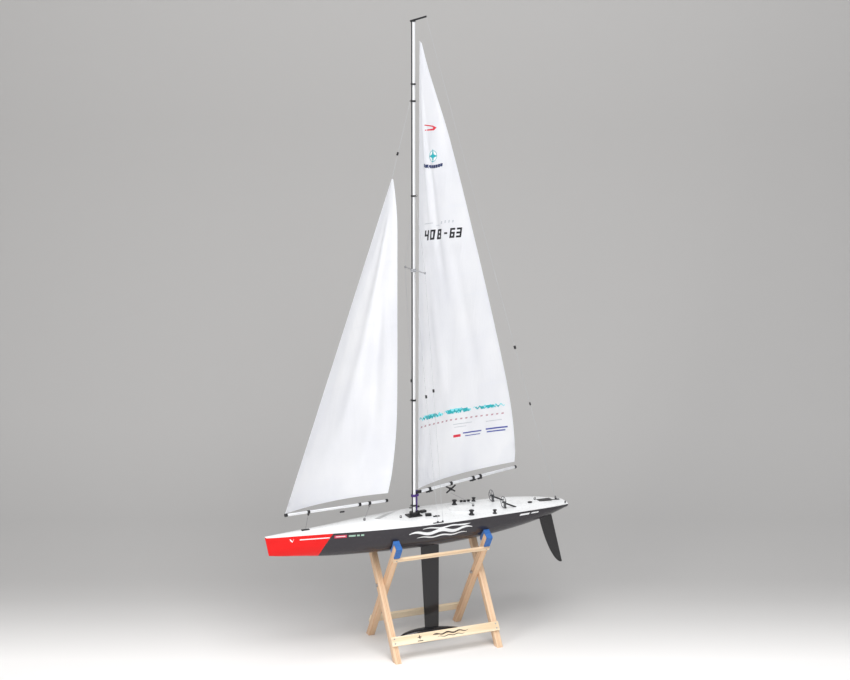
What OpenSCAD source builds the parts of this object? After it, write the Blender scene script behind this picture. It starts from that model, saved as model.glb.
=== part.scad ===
// One-metre class radio-controlled racing yacht standing in its folding wooden cradle.
// Millimetres, +Z up, bow towards -X, starboard towards +Y, floor at z = 0.

/* [Hull] */
// Length of the hull from stem to transom
hull_length = 995; // [990:1:1000]
// Thickness of the moulded hull shell
hull_wall = 2; // [1.6:0.1:2.4]
// Thickness of the moulded deck
deck_thick = 2; // [1.6:0.1:2.4]
// Height of the foredeck's crown above the sheer line
foredeck_crown = 12; // [8:1:14]
// Height of the low after deck's crown above the sheer line
after_crown = 4; // [3:0.5:5]
// Diameter of the round deck hatch opening
hatch_d = 60; // [50:1:62]

/* [Keel] */
// Fore-and-aft length of the keel fin at the hull
fin_root = 62; // [56:1:64]
// Fore-and-aft length of the keel fin at the bulb
fin_tip = 47; // [42:1:52]
// Greatest thickness of the keel fin
fin_thick = 7; // [6:0.5:8]
// Length of the ballast bulb
bulb_length = 208; // [190:1:215]
// Diameter of the ballast bulb
bulb_d = 40; // [34:1:42]
// Height of the bulb's centre line above the floor
bulb_z = 26; // [24:1:30]

/* [Rudder] */
// Rake of the rudder stock, leaning aft as it goes down
rudder_rake = 14.3; // [10:0.1:16]
// Chord of the rudder blade at its root
rudder_chord = 44; // [36:1:46]
// Span of the rudder blade along the stock
rudder_span = 186; // [160:1:188]
// Diameter of the rudder stock
stock_d = 4; // [3:0.5:5]
// Length of the tiller arm and of the servo horn
tiller_arm_len = 16; // [12:1:18]

/* [Rig] */
// Diameter of the mast tube
mast_d = 12; // [10:0.5:12]
// Height of the mast's top above the floor
mast_top = 1890; // [1860:1:1892]
// Half the span of the spreaders
spreader_half = 72; // [60:1:74]
// Diameter of both boom tubes
boom_d = 9; // [8:0.5:10]
// Length of the main boom from the gooseneck rod
main_boom_length = 389; // [370:1:392]
// Angle of the main boom from the centre line, to starboard
main_sheet_angle = 12; // [0:1:20]
// Angle of the jib boom from the centre line, to starboard
jib_sheet_angle = 4.5; // [0:0.5:15]
// Thickness of the sail cloth
sail_thick = 0.6; // [0.4:0.1:1]
// Diameter of the rigging lines
line_d = 0.9; // [0.6:0.1:1.2]

/* [Cradle] */
// Width of each leg, across its length
leg_width = 20; // [18:1:21]
// Thickness of each leg, fore and aft
leg_thick = 19; // [16:1:20]
// Lean of the crossed legs from upright
leg_lean = 32.8; // [31:0.1:33]
// Height of the bolts that the legs cross on
cross_z = 204; // [202:1:206]
// Length of the leg above the crossing bolt
leg_upper = 170; // [165:1:175]
// Distance between the outer faces of the outer legs
cradle_length = 358; // [345:1:358]
// Thickness of the foam pads
pad_thick = 4.5; // [3:0.5:5]
// Diameter of the crossing bolts
bolt_d = 5; // [4:0.5:6]

/* [Hidden] */

$fn = 32;
fine = 48;
eps = 0.01;
fit_gap = 0.05;
bow_x = -hull_length / 2;
stern_x = hull_length / 2;
stem_rake = 11;

// Hull stations: x, half beam, sheer height, keel height, fullness of the section
STATIONS = [
    [bow_x, 3.5, 397.5, 341.5, 1.7],
    [-460, 13.5, 398, 336.5, 1.8],
    [-400, 25, 398.5, 330.5, 2],
    [-300, 44, 399, 320, 2.2],
    [-180, 70, 400.5, 316.5, 2.4],
    [-60, 89, 402.5, 315, 2.4],
    [60, 97, 404, 315.5, 2.2],
    [200, 90, 404.8, 322, 2],
    [330, 82, 404.8, 340, 2],
    [430, 62, 401, 361, 2],
    [stern_x, 35, 395.5, 380, 2]
];
BEAM = 1;
SHEER = 2;
KEEL = 3;
FULL = 4;
hull_rings = 36;
hull_half = 9;
deck_half = 5;

mast_x = -20;
gooseneck_x = -10;
gooseneck_z = 482;
gooseneck_rod_d = 5;
boom_rise = 3.05;
crane_rise = 15;
crane_length = 48;
stock_point = [423, 0, 392];
servo_gap = 60;
hatch_x = 137;
wheel_x = 265;
wheel_y = 42;
wheel_z = 430;
wheel_d = 37;
winch_drum_x = 88;
fin_lead = 2;
hull_bottom = 315;
trunk_top = 402;

// Jib pivot line, from the hook on the mast to the eye on the bow plate
jib_hook = [-27, 0, 1663];
jib_swivel = [-361, 0, 453];
jib_line_slope = (jib_hook[0] - jib_swivel[0]) / (jib_hook[2] - jib_swivel[2]);
jib_tack = [-436, 466];
jib_head_z = 1438;
jib_boom_z = 461;
jib_boom_fore = -437;
jib_boom_aft = -97;

// Outer edge of each sail: height and distance aft, mainsail from the gooseneck rod
MAIN_LEECH = [[520, 383], [560, 386], [700, 371], [910, 322], [1212, 237], [1551, 129],
    [1760, 44], [1830, 20]];
JIB_LEECH = [[484, -96], [548, -81], [683, -65], [870, -61], [1047, -62], [1215, -64],
    [1320, -67], [1395, -76], [1438, -84]];
main_tack_z = 492;
main_luff_x = 6;
main_twist = 6;
jib_twist = 6;
main_camber = 0.09;
jib_camber = 0.08;
sail_rows = 18;
sail_columns = 8;

leg_gap = 0.5;
pad_drop = 37;
cradle_x = 38;
cradle_fore = cradle_x - cradle_length / 2;
cradle_aft = cradle_x + cradle_length / 2;
rail_thick = 8;
bottom_rail_h = 28;
bottom_rail_s = -182;
top_rail_h = 11;
top_rail_s = 126;
screw_d = 5;
bolt_head = 4;

winch_spots = [[146, 62], [146, -62], [219, 75], [219, -75]];
winch_sizes = [1, 1, 0.8, 0.8];
clutch_spots = [[180, 84], [190, 80], [203, 80]];
eye_spots = [[-182, 0], [-63, 0], [190, 18], [404, 14]];

// ---------------------------------------------------------------- functions

function station(x, i = 0) =
    (i >= len(STATIONS) - 2 || x < STATIONS[i + 1][0]) ? i : station(x, i + 1);

function table_slope(table, c, i) =
    let (a = max(i - 1, 0), b = min(i + 1, len(table) - 1))
    (table[b][c] - table[a][c]) / (table[b][0] - table[a][0]);

// Smooth reading of column c of a table between rows i and i + 1
function smooth_read(table, c, i, x) =
    let (w = table[i + 1][0] - table[i][0], t = (x - table[i][0]) / w,
         m0 = table_slope(table, c, i) * w, m1 = table_slope(table, c, i + 1) * w)
    table[i][c] * (2 * t * t * t - 3 * t * t + 1) + m0 * (t * t * t - 2 * t * t + t)
    + table[i + 1][c] * (3 * t * t - 2 * t * t * t) + m1 * (t * t * t - t * t);

function hull_at(c, x) = smooth_read(STATIONS, c, station(x), x);

function table_row(table, z, i = 0) =
    (i >= len(table) - 2 || z < table[i + 1][0]) ? i : table_row(table, z, i + 1);

function edge_at(table, z) = smooth_read(table, 1, table_row(table, z), z);

// One point of the hull's section at x, inset by the wall, at angle a round from port
function section_point(x, inset, a) =
    let (b = hull_at(BEAM, x) - inset, top = hull_at(SHEER, x),
         depth = top - hull_at(KEEL, x) - inset, e = 2 / hull_at(FULL, x),
         c = cos(a), drop = depth * pow(max(sin(a), 0), e),
         lean = stem_rake * pow(max(0, 1 - (x - bow_x) / 110), 2))
    [x + lean * drop / depth, -b * sign(c) * pow(abs(c), e), top - drop];

function section(x, inset) =
    [for (i = [0 : 2 * hull_half]) section_point(x, inset, 90 * i / hull_half)];

// Stations crowd towards the bow, where the shape changes fastest
function ring_x(i, n, fore, aft) = fore + (aft - fore) * (0.35 * pow(i / n, 2) + 0.65 * i / n);

function deck_crown(x, y) =
    let (half = hull_at(BEAM, x), across = 1 - pow(min(abs(y) / half, 1), 2),
         fore = 2 + (foredeck_crown - 2) * min(1, (x - bow_x) / 330),
         inside_v = min(1, max(0, (x + 150 - 1.34 * abs(y)) / 10)))
    (fore + (after_crown - fore) * inside_v) * across;

function deck_top(x, y) = hull_at(SHEER, x) + deck_thick + deck_crown(x, y);

function deck_ring(x, n) =
    let (b = hull_at(BEAM, x))
    concat(
        [for (i = [-n : n]) [x, b * i / n, deck_top(x, b * i / n)]],
        [for (i = [n : -1 : -n]) [x, b * i / n, deck_top(x, b * i / n) - deck_thick]]);

// Symmetric aerofoil of a given chord and thickness, nose at x = 0
function foil_half(chord, thick, n, side) =
    [for (i = [0 : n]) let (s = (1 - cos(180 * i / n)) / 2)
        [chord * s, side * (thick * (1.48 * sqrt(s) - 0.63 * s - 1.76 * s * s
            + 1.42 * pow(s, 3) - 0.51 * pow(s, 4)) + 0.3 * s)]];

function foil_loop(chord, thick, n) =
    let (up = foil_half(chord, thick, n, 1), down = foil_half(chord, thick, n, -1))
    concat([for (i = [0 : n]) up[i]], [for (i = [n : -1 : 1]) down[i]]);

// Boom frame: distance aft of the gooseneck rod, sideways, height
function main_leech_x(z) = edge_at(MAIN_LEECH, z);

function main_row(v) =
    let (z_luff = main_tack_z + v * (1836 - main_tack_z), z_leech = 520 + v * (1830 - 520),
         fore = main_luff_x + 6 * v, aft = main_leech_x(z_leech), chord = aft - fore)
    [for (i = [0 : sail_columns]) let (s = i / sail_columns)
        let (out = main_camber * chord * 4 * s * (1 - s) * (1 - 0.4 * s))
        let (turn = main_twist * v)
        [fore + s * chord * cos(turn) - out * sin(turn), s * chord * sin(turn)
            + out * cos(turn), z_luff + s * (z_leech - z_luff)]];

function jib_luff_x(z) =
    let (head = jib_hook[0] + (jib_head_z - jib_hook[2]) * jib_line_slope)
    jib_tack[0] + (z - jib_tack[1]) / (jib_head_z - jib_tack[1]) * (head - jib_tack[0]);

function jib_row(v) =
    let (z_luff = jib_tack[1] + v * (jib_head_z - jib_tack[1]),
         z_leech = 484 + v * (jib_head_z - 484),
         fore = jib_luff_x(z_luff), chord = edge_at(JIB_LEECH, z_leech) - fore)
    [for (i = [0 : sail_columns]) let (s = i / sail_columns)
        let (out = jib_camber * chord * 4 * s * (1 - s))
        let (turn = jib_twist * v)
        [fore + s * chord * cos(turn) - out * sin(turn), s * chord * sin(turn)
            + out * cos(turn), z_luff + s * (z_leech - z_luff)]];

function sail_loop(row, half) =
    concat([for (p = row) p + [0, half, 0]],
        [for (i = [len(row) - 1 : -1 : 0]) row[i] - [0, half, 0]]);

// ---------------------------------------------------------------- helpers

// Closed solid through a row of closed loops that all have the same number of points.
// A sail's loop folds back on itself, so its ends are closed across from side to side.
module skin(loops, folded = false) {
    n = len(loops[0]);
    m = len(loops);
    points = [for (loop = loops) for (p = loop) p];
    sides = [for (j = [0 : m - 2]) for (i = [0 : n - 1])
        let (a = j * n + i, b = j * n + (i + 1) % n)
        each [[a, b, b + n], [a, b + n, a + n]]];
    first = [for (i = [n - 1 : -1 : 0]) i];
    last = [for (i = [0 : n - 1]) (m - 1) * n + i];
    strips = [for (i = [0 : n / 2 - 2]) each [[i, i + 1, n - 2 - i], [i, n - 2 - i, n - 1 - i]]];
    caps = folded ? concat([for (f = strips) [f[2], f[1], f[0]]],
        [for (f = strips) [for (k = f) k + (m - 1) * n]]) : [first, last];
    polyhedron(points, concat(sides, caps), convexity = 6);
}

module rod(a, b, d) {
    v = b - a;
    translate(a)
        rotate([0, acos(v[2] / norm(v)), atan2(v[1], v[0])])
            cylinder(d = d, h = norm(v), $fn = 16);
}

module tube(a, b, d, wall) {
    v = b - a;
    translate(a)
        rotate([0, acos(v[2] / norm(v)), atan2(v[1], v[0])])
            difference() {
                cylinder(d = d, h = norm(v));
                translate([0, 0, -1]) cylinder(d = d - 2 * wall, h = norm(v) + 2);
            }
}

module block(low, high) {
    translate(low) cube(high - low);
}

module ring(d, wire) {
    rotate_extrude() translate([d / 2, 0]) circle(d = wire, $fn = 16);
}

// ---------------------------------------------------------------- cradle

// Leg frame: x along the boat, y across the leg towards the boat, z up the leg
module leg_place(side, aft_end, row) {
    fore_x = aft_end ? cradle_aft - leg_thick - row * (leg_thick + leg_gap)
        : cradle_fore + row * (leg_thick + leg_gap);
    translate([fore_x, 0, cross_z]) mirror([0, side < 0 ? 1 : 0, 0])
        rotate([-leg_lean, 0, 0]) children();
}

module leg() {
    foot = cross_z / cos(leg_lean) + leg_width;
    intersection() {
        difference() {
            block([0, -leg_width / 2, -foot], [leg_thick, leg_width / 2, leg_upper]);
            translate([-1, 0, 0]) rotate([0, 90, 0])
                cylinder(d = bolt_d + 2 * fit_gap, h = leg_thick + 2);
        }
        rotate([leg_lean, 0, 0])
            block([-1, -300, -cross_z], [leg_thick + 1, 300, 300]);
    }
}

// The outer frame's tops lean to starboard, the inner frame's tops lean to port
module outer_leg_fore() {
    color("burlywood") leg_place(1, false, 0) leg();
}

module outer_leg_aft() {
    color("burlywood") leg_place(1, true, 0) leg();
}

module inner_leg_fore() {
    color("burlywood") leg_place(-1, false, 1) leg();
}

module inner_leg_aft() {
    color("burlywood") leg_place(-1, true, 1) leg();
}

// Rail on the outside of one frame's legs, centred at height s along the legs
module rail(side, face, s, height, inset) {
    translate([0, 0, cross_z]) mirror([0, side < 0 ? 1 : 0, 0]) rotate([-leg_lean, 0, 0])
        difference() {
            block([cradle_fore + inset, face > 0 ? leg_width / 2 : -leg_width / 2 - rail_thick,
                s - height / 2], [cradle_aft - inset,
                face > 0 ? leg_width / 2 + rail_thick : -leg_width / 2, s + height / 2]);
            for (x = [cradle_fore + inset + leg_thick / 2, cradle_aft - inset - leg_thick / 2])
                for (z = height > 20 ? [-7, 7] : [0])
                    translate([x, face * leg_width / 2 + face * rail_thick / 2, s + z])
                        rotate([90, 0, 0])
                            cylinder(d = screw_d - 2, h = rail_thick + 2, center = true);
        }
}

module outer_bottom_rail() {
    color("wheat") rail(1, -1, bottom_rail_s, bottom_rail_h, 0);
}

module inner_bottom_rail() {
    color("wheat") rail(-1, -1, bottom_rail_s, bottom_rail_h, leg_thick + leg_gap);
}

module outer_top_rail() {
    color("wheat") rail(1, 1, top_rail_s, top_rail_h, 0);
}

module inner_top_rail() {
    color("wheat") rail(-1, 1, top_rail_s, top_rail_h, leg_thick + leg_gap);
}

module rail_screws(side, inset) {
    translate([0, 0, cross_z]) mirror([0, side < 0 ? 1 : 0, 0]) rotate([-leg_lean, 0, 0])
        for (x = [cradle_fore + inset + leg_thick / 2, cradle_aft - inset - leg_thick / 2]) {
            for (z = [-7, 7]) translate([x, -leg_width / 2 - rail_thick, bottom_rail_s + z])
                rotate([90, 0, 0]) rail_screw();
            translate([x, leg_width / 2 + rail_thick, top_rail_s]) rotate([-90, 0, 0])
                rail_screw();
        }
}

module rail_screw() {
    cylinder(d1 = screw_d, d2 = screw_d - 1.4, h = 1);
    translate([0, 0, -rail_thick + eps]) cylinder(d = screw_d - 2.2, h = rail_thick);
}

module outer_rail_screws() {
    color("silver") rail_screws(1, 0);
}

module inner_rail_screws() {
    color("silver") rail_screws(-1, leg_thick + leg_gap);
}

// Foam strip folded over the top of a leg, pressed to the hull's shape on the inside
module pad(side, aft_end, row) {
    reach = leg_width / 2 + pad_thick;
    fore = aft_end ? cradle_aft - leg_thick - row * (leg_thick + leg_gap)
        : cradle_fore + row * (leg_thick + leg_gap);
    widest = fore + (aft_end ? 0 : leg_thick);
    translate([fore, 0, 0]) rotate([90, 0, 90]) linear_extrude(leg_thick) difference() {
        translate([0, cross_z]) mirror([side < 0 ? 1 : 0, 0]) rotate(-leg_lean) difference() {
            translate([-reach - 9, leg_upper - pad_drop])
                square([2 * reach + 9, pad_drop + pad_thick]);
            translate([-leg_width / 2, leg_upper - 60]) square([leg_width, 60]);
        }
        polygon([for (p = section(widest, -0.3)) [p[1], p[2]]]);
    }
}

module outer_pad_fore() {
    color("royalblue") pad(1, false, 0);
}

module outer_pad_aft() {
    color("royalblue") pad(1, true, 0);
}

module inner_pad_fore() {
    color("royalblue") pad(-1, false, 1);
}

module inner_pad_aft() {
    color("royalblue") pad(-1, true, 1);
}

module cross_bolt(fore_x) {
    grip = 2 * leg_thick + leg_gap;
    translate([fore_x, 0, cross_z]) rotate([0, 90, 0]) {
        cylinder(d = bolt_d, h = grip + 7);
        translate([0, 0, -bolt_head]) cylinder(d = 2.2 * bolt_d, h = bolt_head);
        translate([0, 0, grip]) difference() {
            cylinder(d = 2 * bolt_d, h = 5);
            translate([0, 0, -1]) cylinder(d = bolt_d - eps, h = 7);
        }
    }
}

module cross_bolt_fore() {
    color("dimgray") cross_bolt(cradle_fore);
}

module cross_bolt_aft() {
    color("dimgray") translate([2 * cradle_x, 0, 0]) mirror([1, 0, 0]) cross_bolt(cradle_fore);
}

// ---------------------------------------------------------------- hull

// Shell: outer and inner skins joined along the sheer, solid at the stem and transom
module hull_skin() {
    n = 2 * hull_half + 1;
    m = hull_rings + 1;
    outer = [for (i = [0 : hull_rings]) section(ring_x(i, hull_rings, bow_x, stern_x), 0)];
    inner = [for (i = [0 : hull_rings])
        section(ring_x(i, hull_rings, bow_x + 24, stern_x - hull_wall), hull_wall)];
    points = concat([for (r = outer) each r], [for (r = inner) each r]);
    base = n * m;
    skins = [for (j = [0 : m - 2]) for (i = [0 : n - 2])
        let (a = j * n + i, c = a + n)
        each [[a, c, c + 1], [a, c + 1, a + 1],
            [base + a, base + a + 1, base + c + 1], [base + a, base + c + 1, base + c]]];
    rims = [for (j = [0 : m - 2])
        let (a = j * n, c = a + n, s = a + n - 1, t = c + n - 1)
        each [[a, base + a, base + c], [a, base + c, c],
            [s, t, base + t], [s, base + t, base + s]]];
    last = (m - 1) * n;
    ends = [[for (i = [0 : n - 1]) i], [for (i = [n - 1 : -1 : 0]) last + i],
        [for (i = [n - 1 : -1 : 0]) base + i], [for (i = [0 : n - 1]) base + last + i],
        [0, n - 1, base + n - 1], [0, base + n - 1, base],
        [last, base + last, base + last + n - 1], [last, base + last + n - 1, last + n - 1]];
    polyhedron(points, concat(skins, rims, ends), convexity = 8);
}

module hull_shell() {
    color([0.13, 0.13, 0.14]) difference() {
        hull_skin();
        block([fin_lead + 2, -fin_thick / 2 - 2, hull_bottom - 10],
            [fin_lead + fin_root - 2, fin_thick / 2 + 2, hull_bottom + 12]);
        stock_frame() translate([0, 0, -50]) cylinder(d = stock_d + 4.4, h = 40);
    }
}

module deck() {
    color("white") difference() {
        skin([for (i = [0 : hull_rings])
            deck_ring(ring_x(i, hull_rings, bow_x, stern_x), deck_half)]);
        translate([hatch_x, 0, 380]) cylinder(d = hatch_d + 8.6, h = 60, $fn = fine);
        translate([422, 0, 380]) cylinder(d = 16, h = 40);
    }
}

// Raised rim round the hatch opening, which the lid rests on
module hatch_frame() {
    z = deck_top(hatch_x, 0) - deck_thick - 1;
    color("white") translate([hatch_x, 0, z]) difference() {
        cylinder(d = hatch_d + 14, h = 4.2, $fn = fine);
        translate([0, 0, -1]) cylinder(d = hatch_d, h = 10, $fn = fine);
    }
}

module keel_trunk() {
    color("ivory") difference() {
        block([fin_lead, -fin_thick / 2 - 2, hull_bottom + 5],
            [fin_lead + fin_root, fin_thick / 2 + 2, trunk_top]);
        block([fin_lead + 3, -fin_thick / 2, hull_bottom - 10],
            [fin_lead + fin_root - 3, fin_thick / 2, trunk_top - 3]);
        translate([fin_lead + fin_root / 2, 0, trunk_top - 10]) cylinder(d = 5, h = 20);
    }
}

module keel_fin() {
    rows = 6;
    low = bulb_z + bulb_d / 2 - 4;
    trail = fin_lead + fin_root + 0.5;
    color([0.08, 0.08, 0.09]) union() {
        skin([for (j = [0 : rows]) let (v = j / rows, c = fin_root + (fin_tip - fin_root) * v)
            [for (p = foil_loop(c, fin_thick - 2 * v, 9))
                [trail - c + p[0], -p[1], 312 + (low - 312) * v]]]);
        block([fin_lead + 3.3, -fin_thick / 2 + 0.3, 311.5],
            [fin_lead + fin_root - 3.3, fin_thick / 2 - 0.3, trunk_top - 4]);
        translate([fin_lead + fin_root / 2, 0, trunk_top - 5]) cylinder(d = 4, h = 10);
    }
}

module keel_nut() {
    color("silver") translate([fin_lead + fin_root / 2, 0, trunk_top + eps]) difference() {
        cylinder(d = 8, h = 4, $fn = 6);
        translate([0, 0, -1]) cylinder(d = 4 + eps, h = 6);
    }
}

// Torpedo with a full nose and a finer tail
module ballast_bulb() {
    profile = [for (i = [0 : 14]) let (s = i / 14)
        [bulb_d / 2 * pow(sin(180 * pow(s, 0.75)), 0.72), bulb_length * s]];
    color([0.06, 0.06, 0.07]) difference() {
        translate([-66.5, 0, bulb_z]) rotate([0, 90, 0])
            rotate_extrude($fn = fine) polygon(profile);
        block([10, -fin_thick, bulb_z + bulb_d / 2 - 4.2], [70, fin_thick, 60]);
    }
}

// ---------------------------------------------------------------- steering gear

// Frame of the rudder stock: z up the stock, x aft across it
module stock_frame() {
    translate(stock_point) rotate([0, -rudder_rake, 0]) children();
}

module rudder_tube() {
    color("gold") stock_frame() difference() {
        translate([0, 0, -32]) cylinder(d = stock_d + 4, h = 29);
        translate([0, 0, -40]) cylinder(d = stock_d + 2 * fit_gap, h = 39);
    }
}

module rudder_blade() {
    rows = 9;
    root = -33;
    trail = 24.5;
    color([0.05, 0.05, 0.05]) stock_frame() union() {
        skin([for (j = [0 : rows]) let (f = 0.995 * sin(90 * j / rows),
            c = rudder_chord * sqrt(1 - f * f), t = max(5.6 * c / rudder_chord, 1))
            [for (p = foil_loop(c, t, 8)) [trail - c + p[0], -p[1], root - f * rudder_span * 0.94]]]);
        translate([0, 0, root - 60]) cylinder(d = stock_d, h = 66 - root);
    }
}

module arm_plate(z, thick, bore) {
    difference() {
        translate([0, 0, z]) hull() {
            cylinder(d = 10, h = thick);
            translate([0, tiller_arm_len, 0]) cylinder(d = 6, h = thick);
        }
        translate([0, 0, z - 1]) cylinder(d = bore, h = thick + 2);
        translate([0, tiller_arm_len, z - 1]) cylinder(d = 2, h = thick + 2);
    }
}

module tiller_arm() {
    color("dimgray") stock_frame() arm_plate(0, 3, stock_d + eps);
}

module servo_frame() {
    stock_frame() translate([-servo_gap, 0, 0]) children();
}

module servo_horn() {
    color("white") servo_frame() arm_plate(0, 3, 3);
}

module rudder_servo() {
    color([0.1, 0.1, 0.12]) servo_frame() {
        block([-17, -6, -25], [7, 6, -1]);
        block([-22, -6, -11], [12, 6, -8.5]);
        translate([0, 0, -1 - eps]) cylinder(d = 2.9, h = 4);
    }
}

module rudder_pushrod() {
    color("silver") servo_frame() {
        for (x = [0, servo_gap]) translate([x, tiller_arm_len, 0])
            translate([0, 0, 0.2]) cylinder(d = 1.8, h = 6.3);
        translate([0, tiller_arm_len, 5.5]) rotate([0, 90, 0])
            cylinder(d = 1.8, h = servo_gap);
    }
}

module servo_tray() {
    color("tan") {
        difference() {
            block([64, -42, 350], [186, 42, 353]);
            block([78, -11, 349], [119, 11, 354]);
        }
        servo_frame() difference() {
            block([-27, -14, -13.6], [16, 14, -11.2]);
            block([-18, -6.5, -20], [8, 6.5, -5]);
        }
    }
}

module winch_servo() {
    color([0.1, 0.1, 0.12]) {
        block([79, -10, 340], [118, 10, 381]);
        difference() {
            block([71, -10, 371], [79 + eps, 10, 374]);
            translate([75, 0, 365]) cylinder(d = 3.4, h = 20);
        }
        translate([winch_drum_x, 0, 381 - eps]) cylinder(d = 5, h = 14);
    }
}

module winch_drum() {
    bore = 5 + 2 * fit_gap;
    color("white") translate([winch_drum_x, 0, 382.5]) difference() {
        rotate_extrude() polygon([[bore / 2, 0], [17, 0], [17, 1.4], [13, 2.4], [13, 4.4],
            [17, 5.4], [17, 6.6], [11, 7.6], [11, 9.4], [17, 10.4], [17, 11.8], [bore / 2, 11.8]]);
        translate([6, 0, 8]) cylinder(d = 2, h = 10, $fn = 16);
    }
}

module receiver() {
    color([0.12, 0.12, 0.14]) {
        block([128, 14, 353], [166, 36, 366]);
        translate([128, 25, 360]) rotate([0, -90, 0]) cylinder(d = 1.6, h = 22);
    }
}

module battery_box() {
    color([0.15, 0.15, 0.16]) difference() {
        block([124, -38, 353], [182, 10, 369]);
        block([126, -36, 355], [180, 8, 380]);
    }
}

module battery_cells() {
    color("seagreen") for (i = [0 : 2])
        translate([127.5, -28.5 + i * 14.6, 362.2]) rotate([0, 90, 0]) {
            cylinder(d = 14, h = 49);
            cylinder(d = 5, h = 50.5);
        }
}

// ---------------------------------------------------------------- deck fittings

module mast_step() {
    z = deck_top(mast_x, 0) - 0.4;
    color([0.07, 0.07, 0.08]) difference() {
        union() {
            translate([mast_x, 0, z]) linear_extrude(4) square([44, 34], center = true);
            translate([mast_x, 0, z]) cylinder(d = 26, h = 13);
            block([gooseneck_x - 6, -6, z], [gooseneck_x + 8, 6, z + 15]);
            for (side = [-1, 1]) translate([20, side * 20, z]) rotate([0, 0, side * 12])
                block([-9, -6, 0], [9, 6, 8]);
        }
        translate([mast_x, 0, z + 3]) cylinder(d = mast_d + 2 * fit_gap, h = 30);
        translate([gooseneck_x, 0, z + 5]) cylinder(d = gooseneck_rod_d + eps, h = 30);
    }
}

module mast() {
    bottom = deck_top(mast_x, 0) + 2.7;
    color("gainsboro") tube([mast_x, 0, bottom], [mast_x, 0, mast_top], mast_d, 1);
}

module masthead_crane() {
    color([0.07, 0.07, 0.08]) difference() {
        union() {
            translate([mast_x, 0, mast_top - 14]) cylinder(d = mast_d - 2 - 2 * fit_gap, h = 15);
            translate([mast_x, 0, mast_top + 2]) rotate([0, -crane_rise, 0])
                block([-8, -3, 0], [crane_length - 4, 3, 5]);
            translate([mast_x, 0, mast_top + eps]) cylinder(d = mast_d + 2, h = 4);
        }
        translate([mast_x + 41, 5, mast_top + 15]) rotate([90, 0, 0]) cylinder(d = 2, h = 10);
    }
}

module spreaders() {
    color([0.75, 0.76, 0.78]) translate([mast_x, 0, 1165]) {
        difference() {
            cylinder(d = mast_d + 4, h = 9, center = true);
            cylinder(d = mast_d + eps, h = 12, center = true);
        }
        for (side = [-1, 1]) {
            rod([1.5, side * 7.5, 0], [5, side * spreader_half, 0], 3);
            translate([5.4, side * (spreader_half + 1.6), -3]) cylinder(d = 4.4, h = 6);
        }
    }
}

module gooseneck() {
    color([0.22, 0.16, 0.36]) union() {
        translate([gooseneck_x, 0, deck_top(mast_x, 0) + 4.7])
            cylinder(d = gooseneck_rod_d, h = gooseneck_z + 6 - deck_top(mast_x, 0) - 4.7);
        translate([gooseneck_x, 0, gooseneck_z + 5.4]) cylinder(d = 7, h = 2);
    }
    color([0.08, 0.08, 0.09]) translate([mast_x, 0, gooseneck_z - 12]) difference() {
        union() {
            cylinder(d = mast_d + 5, h = 7);
            block([4, -4, 0], [15, 4, 7]);
        }
        translate([0, 0, -1]) cylinder(d = mast_d + eps, h = 10);
        translate([10, 0, -1]) cylinder(d = gooseneck_rod_d + eps, h = 10);
    }
}

module mast_collar(z) {
    translate([mast_x, 0, z]) difference() {
        cylinder(d = mast_d + 3, h = 5, center = true);
        cylinder(d = mast_d + eps, h = 6, center = true);
    }
}

module mast_fittings() {
    color([0.08, 0.08, 0.09]) {
        for (z = [1386, 770, 1712]) mast_collar(z);
        mast_collar(jib_hook[2]);
        translate(jib_hook + [-1.6, 0, 0]) rotate([90, 0, 0]) ring(4, 1.2);
        translate([mast_x + 10.2, 0, 1386]) rotate([90, 0, 0]) ring(5, 1.2);
        translate([mast_x - 9.6, 0, 770]) rotate([90, 0, 0]) ring(4, 1.2);
        translate([mast_x - 9.6, 0, 442]) rotate([90, 0, 0]) ring(4, 1.2);
        mast_collar(442);
    }
}

chain_y = 90.5;
chain_low = [20, chain_y];
chain_high = [36, chain_y + 0.5];
crane_tip = [mast_x + 42, 0, mast_top + 12];
backstay_foot = [472, 0, 404.5];
spreader_tip = [mast_x + 5, spreader_half, 1165];

module standing_rigging() {
    color("lightgray") {
        rod(crane_tip, backstay_foot, line_d);
        for (side = [-1, 1]) {
            low = [chain_low[0], side * chain_low[1], 409];
            high = [chain_high[0], side * chain_high[1], 409];
            tip = [spreader_tip[0] + 0.4, side * (spreader_tip[1] + 1.6), spreader_tip[2]];
            rod(low, [mast_x + 1, side * 7.2, 1152], line_d);
            rod(high, tip - [0, 0, 2.9], line_d);
            rod(tip + [0, 0, 2.9], [mast_x + 2, side * 7.9, 1385], line_d);
        }
    }
}

function along(a, b, t) = a + (b - a) * t;

module bowsie(p, tilt, d) {
    translate(p) rotate(tilt) difference() {
        cylinder(d = d, h = 9, center = true);
        cylinder(d = line_d + 0.1, h = 12, center = true);
    }
}

module rigging_bowsies() {
    color([0.08, 0.08, 0.09]) {
        stay = backstay_foot - crane_tip;
        lean = -atan2(stay[0], -stay[2]);
        bowsie(along(crane_tip, backstay_foot, 0.665), [0, lean, 0], 7);
        bowsie(along(crane_tip, backstay_foot, 0.787), [0, lean, 0], 5);
        for (side = [-1, 1]) {
            low = [chain_low[0], side * chain_low[1], 409];
            high = [chain_high[0], side * chain_high[1], 409];
            tip = [spreader_tip[0] + 0.4, side * (spreader_tip[1] + 1.6), spreader_tip[2] - 2.9];
            bowsie(along(low, [mast_x + 1, side * 7.2, 1152], 0.51), [side * 6.9, -3.1, 0], 6);
            bowsie(along(high, tip, 0.535), [side * 1.8, -3.7, 0], 6);
        }
    }
}

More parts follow.
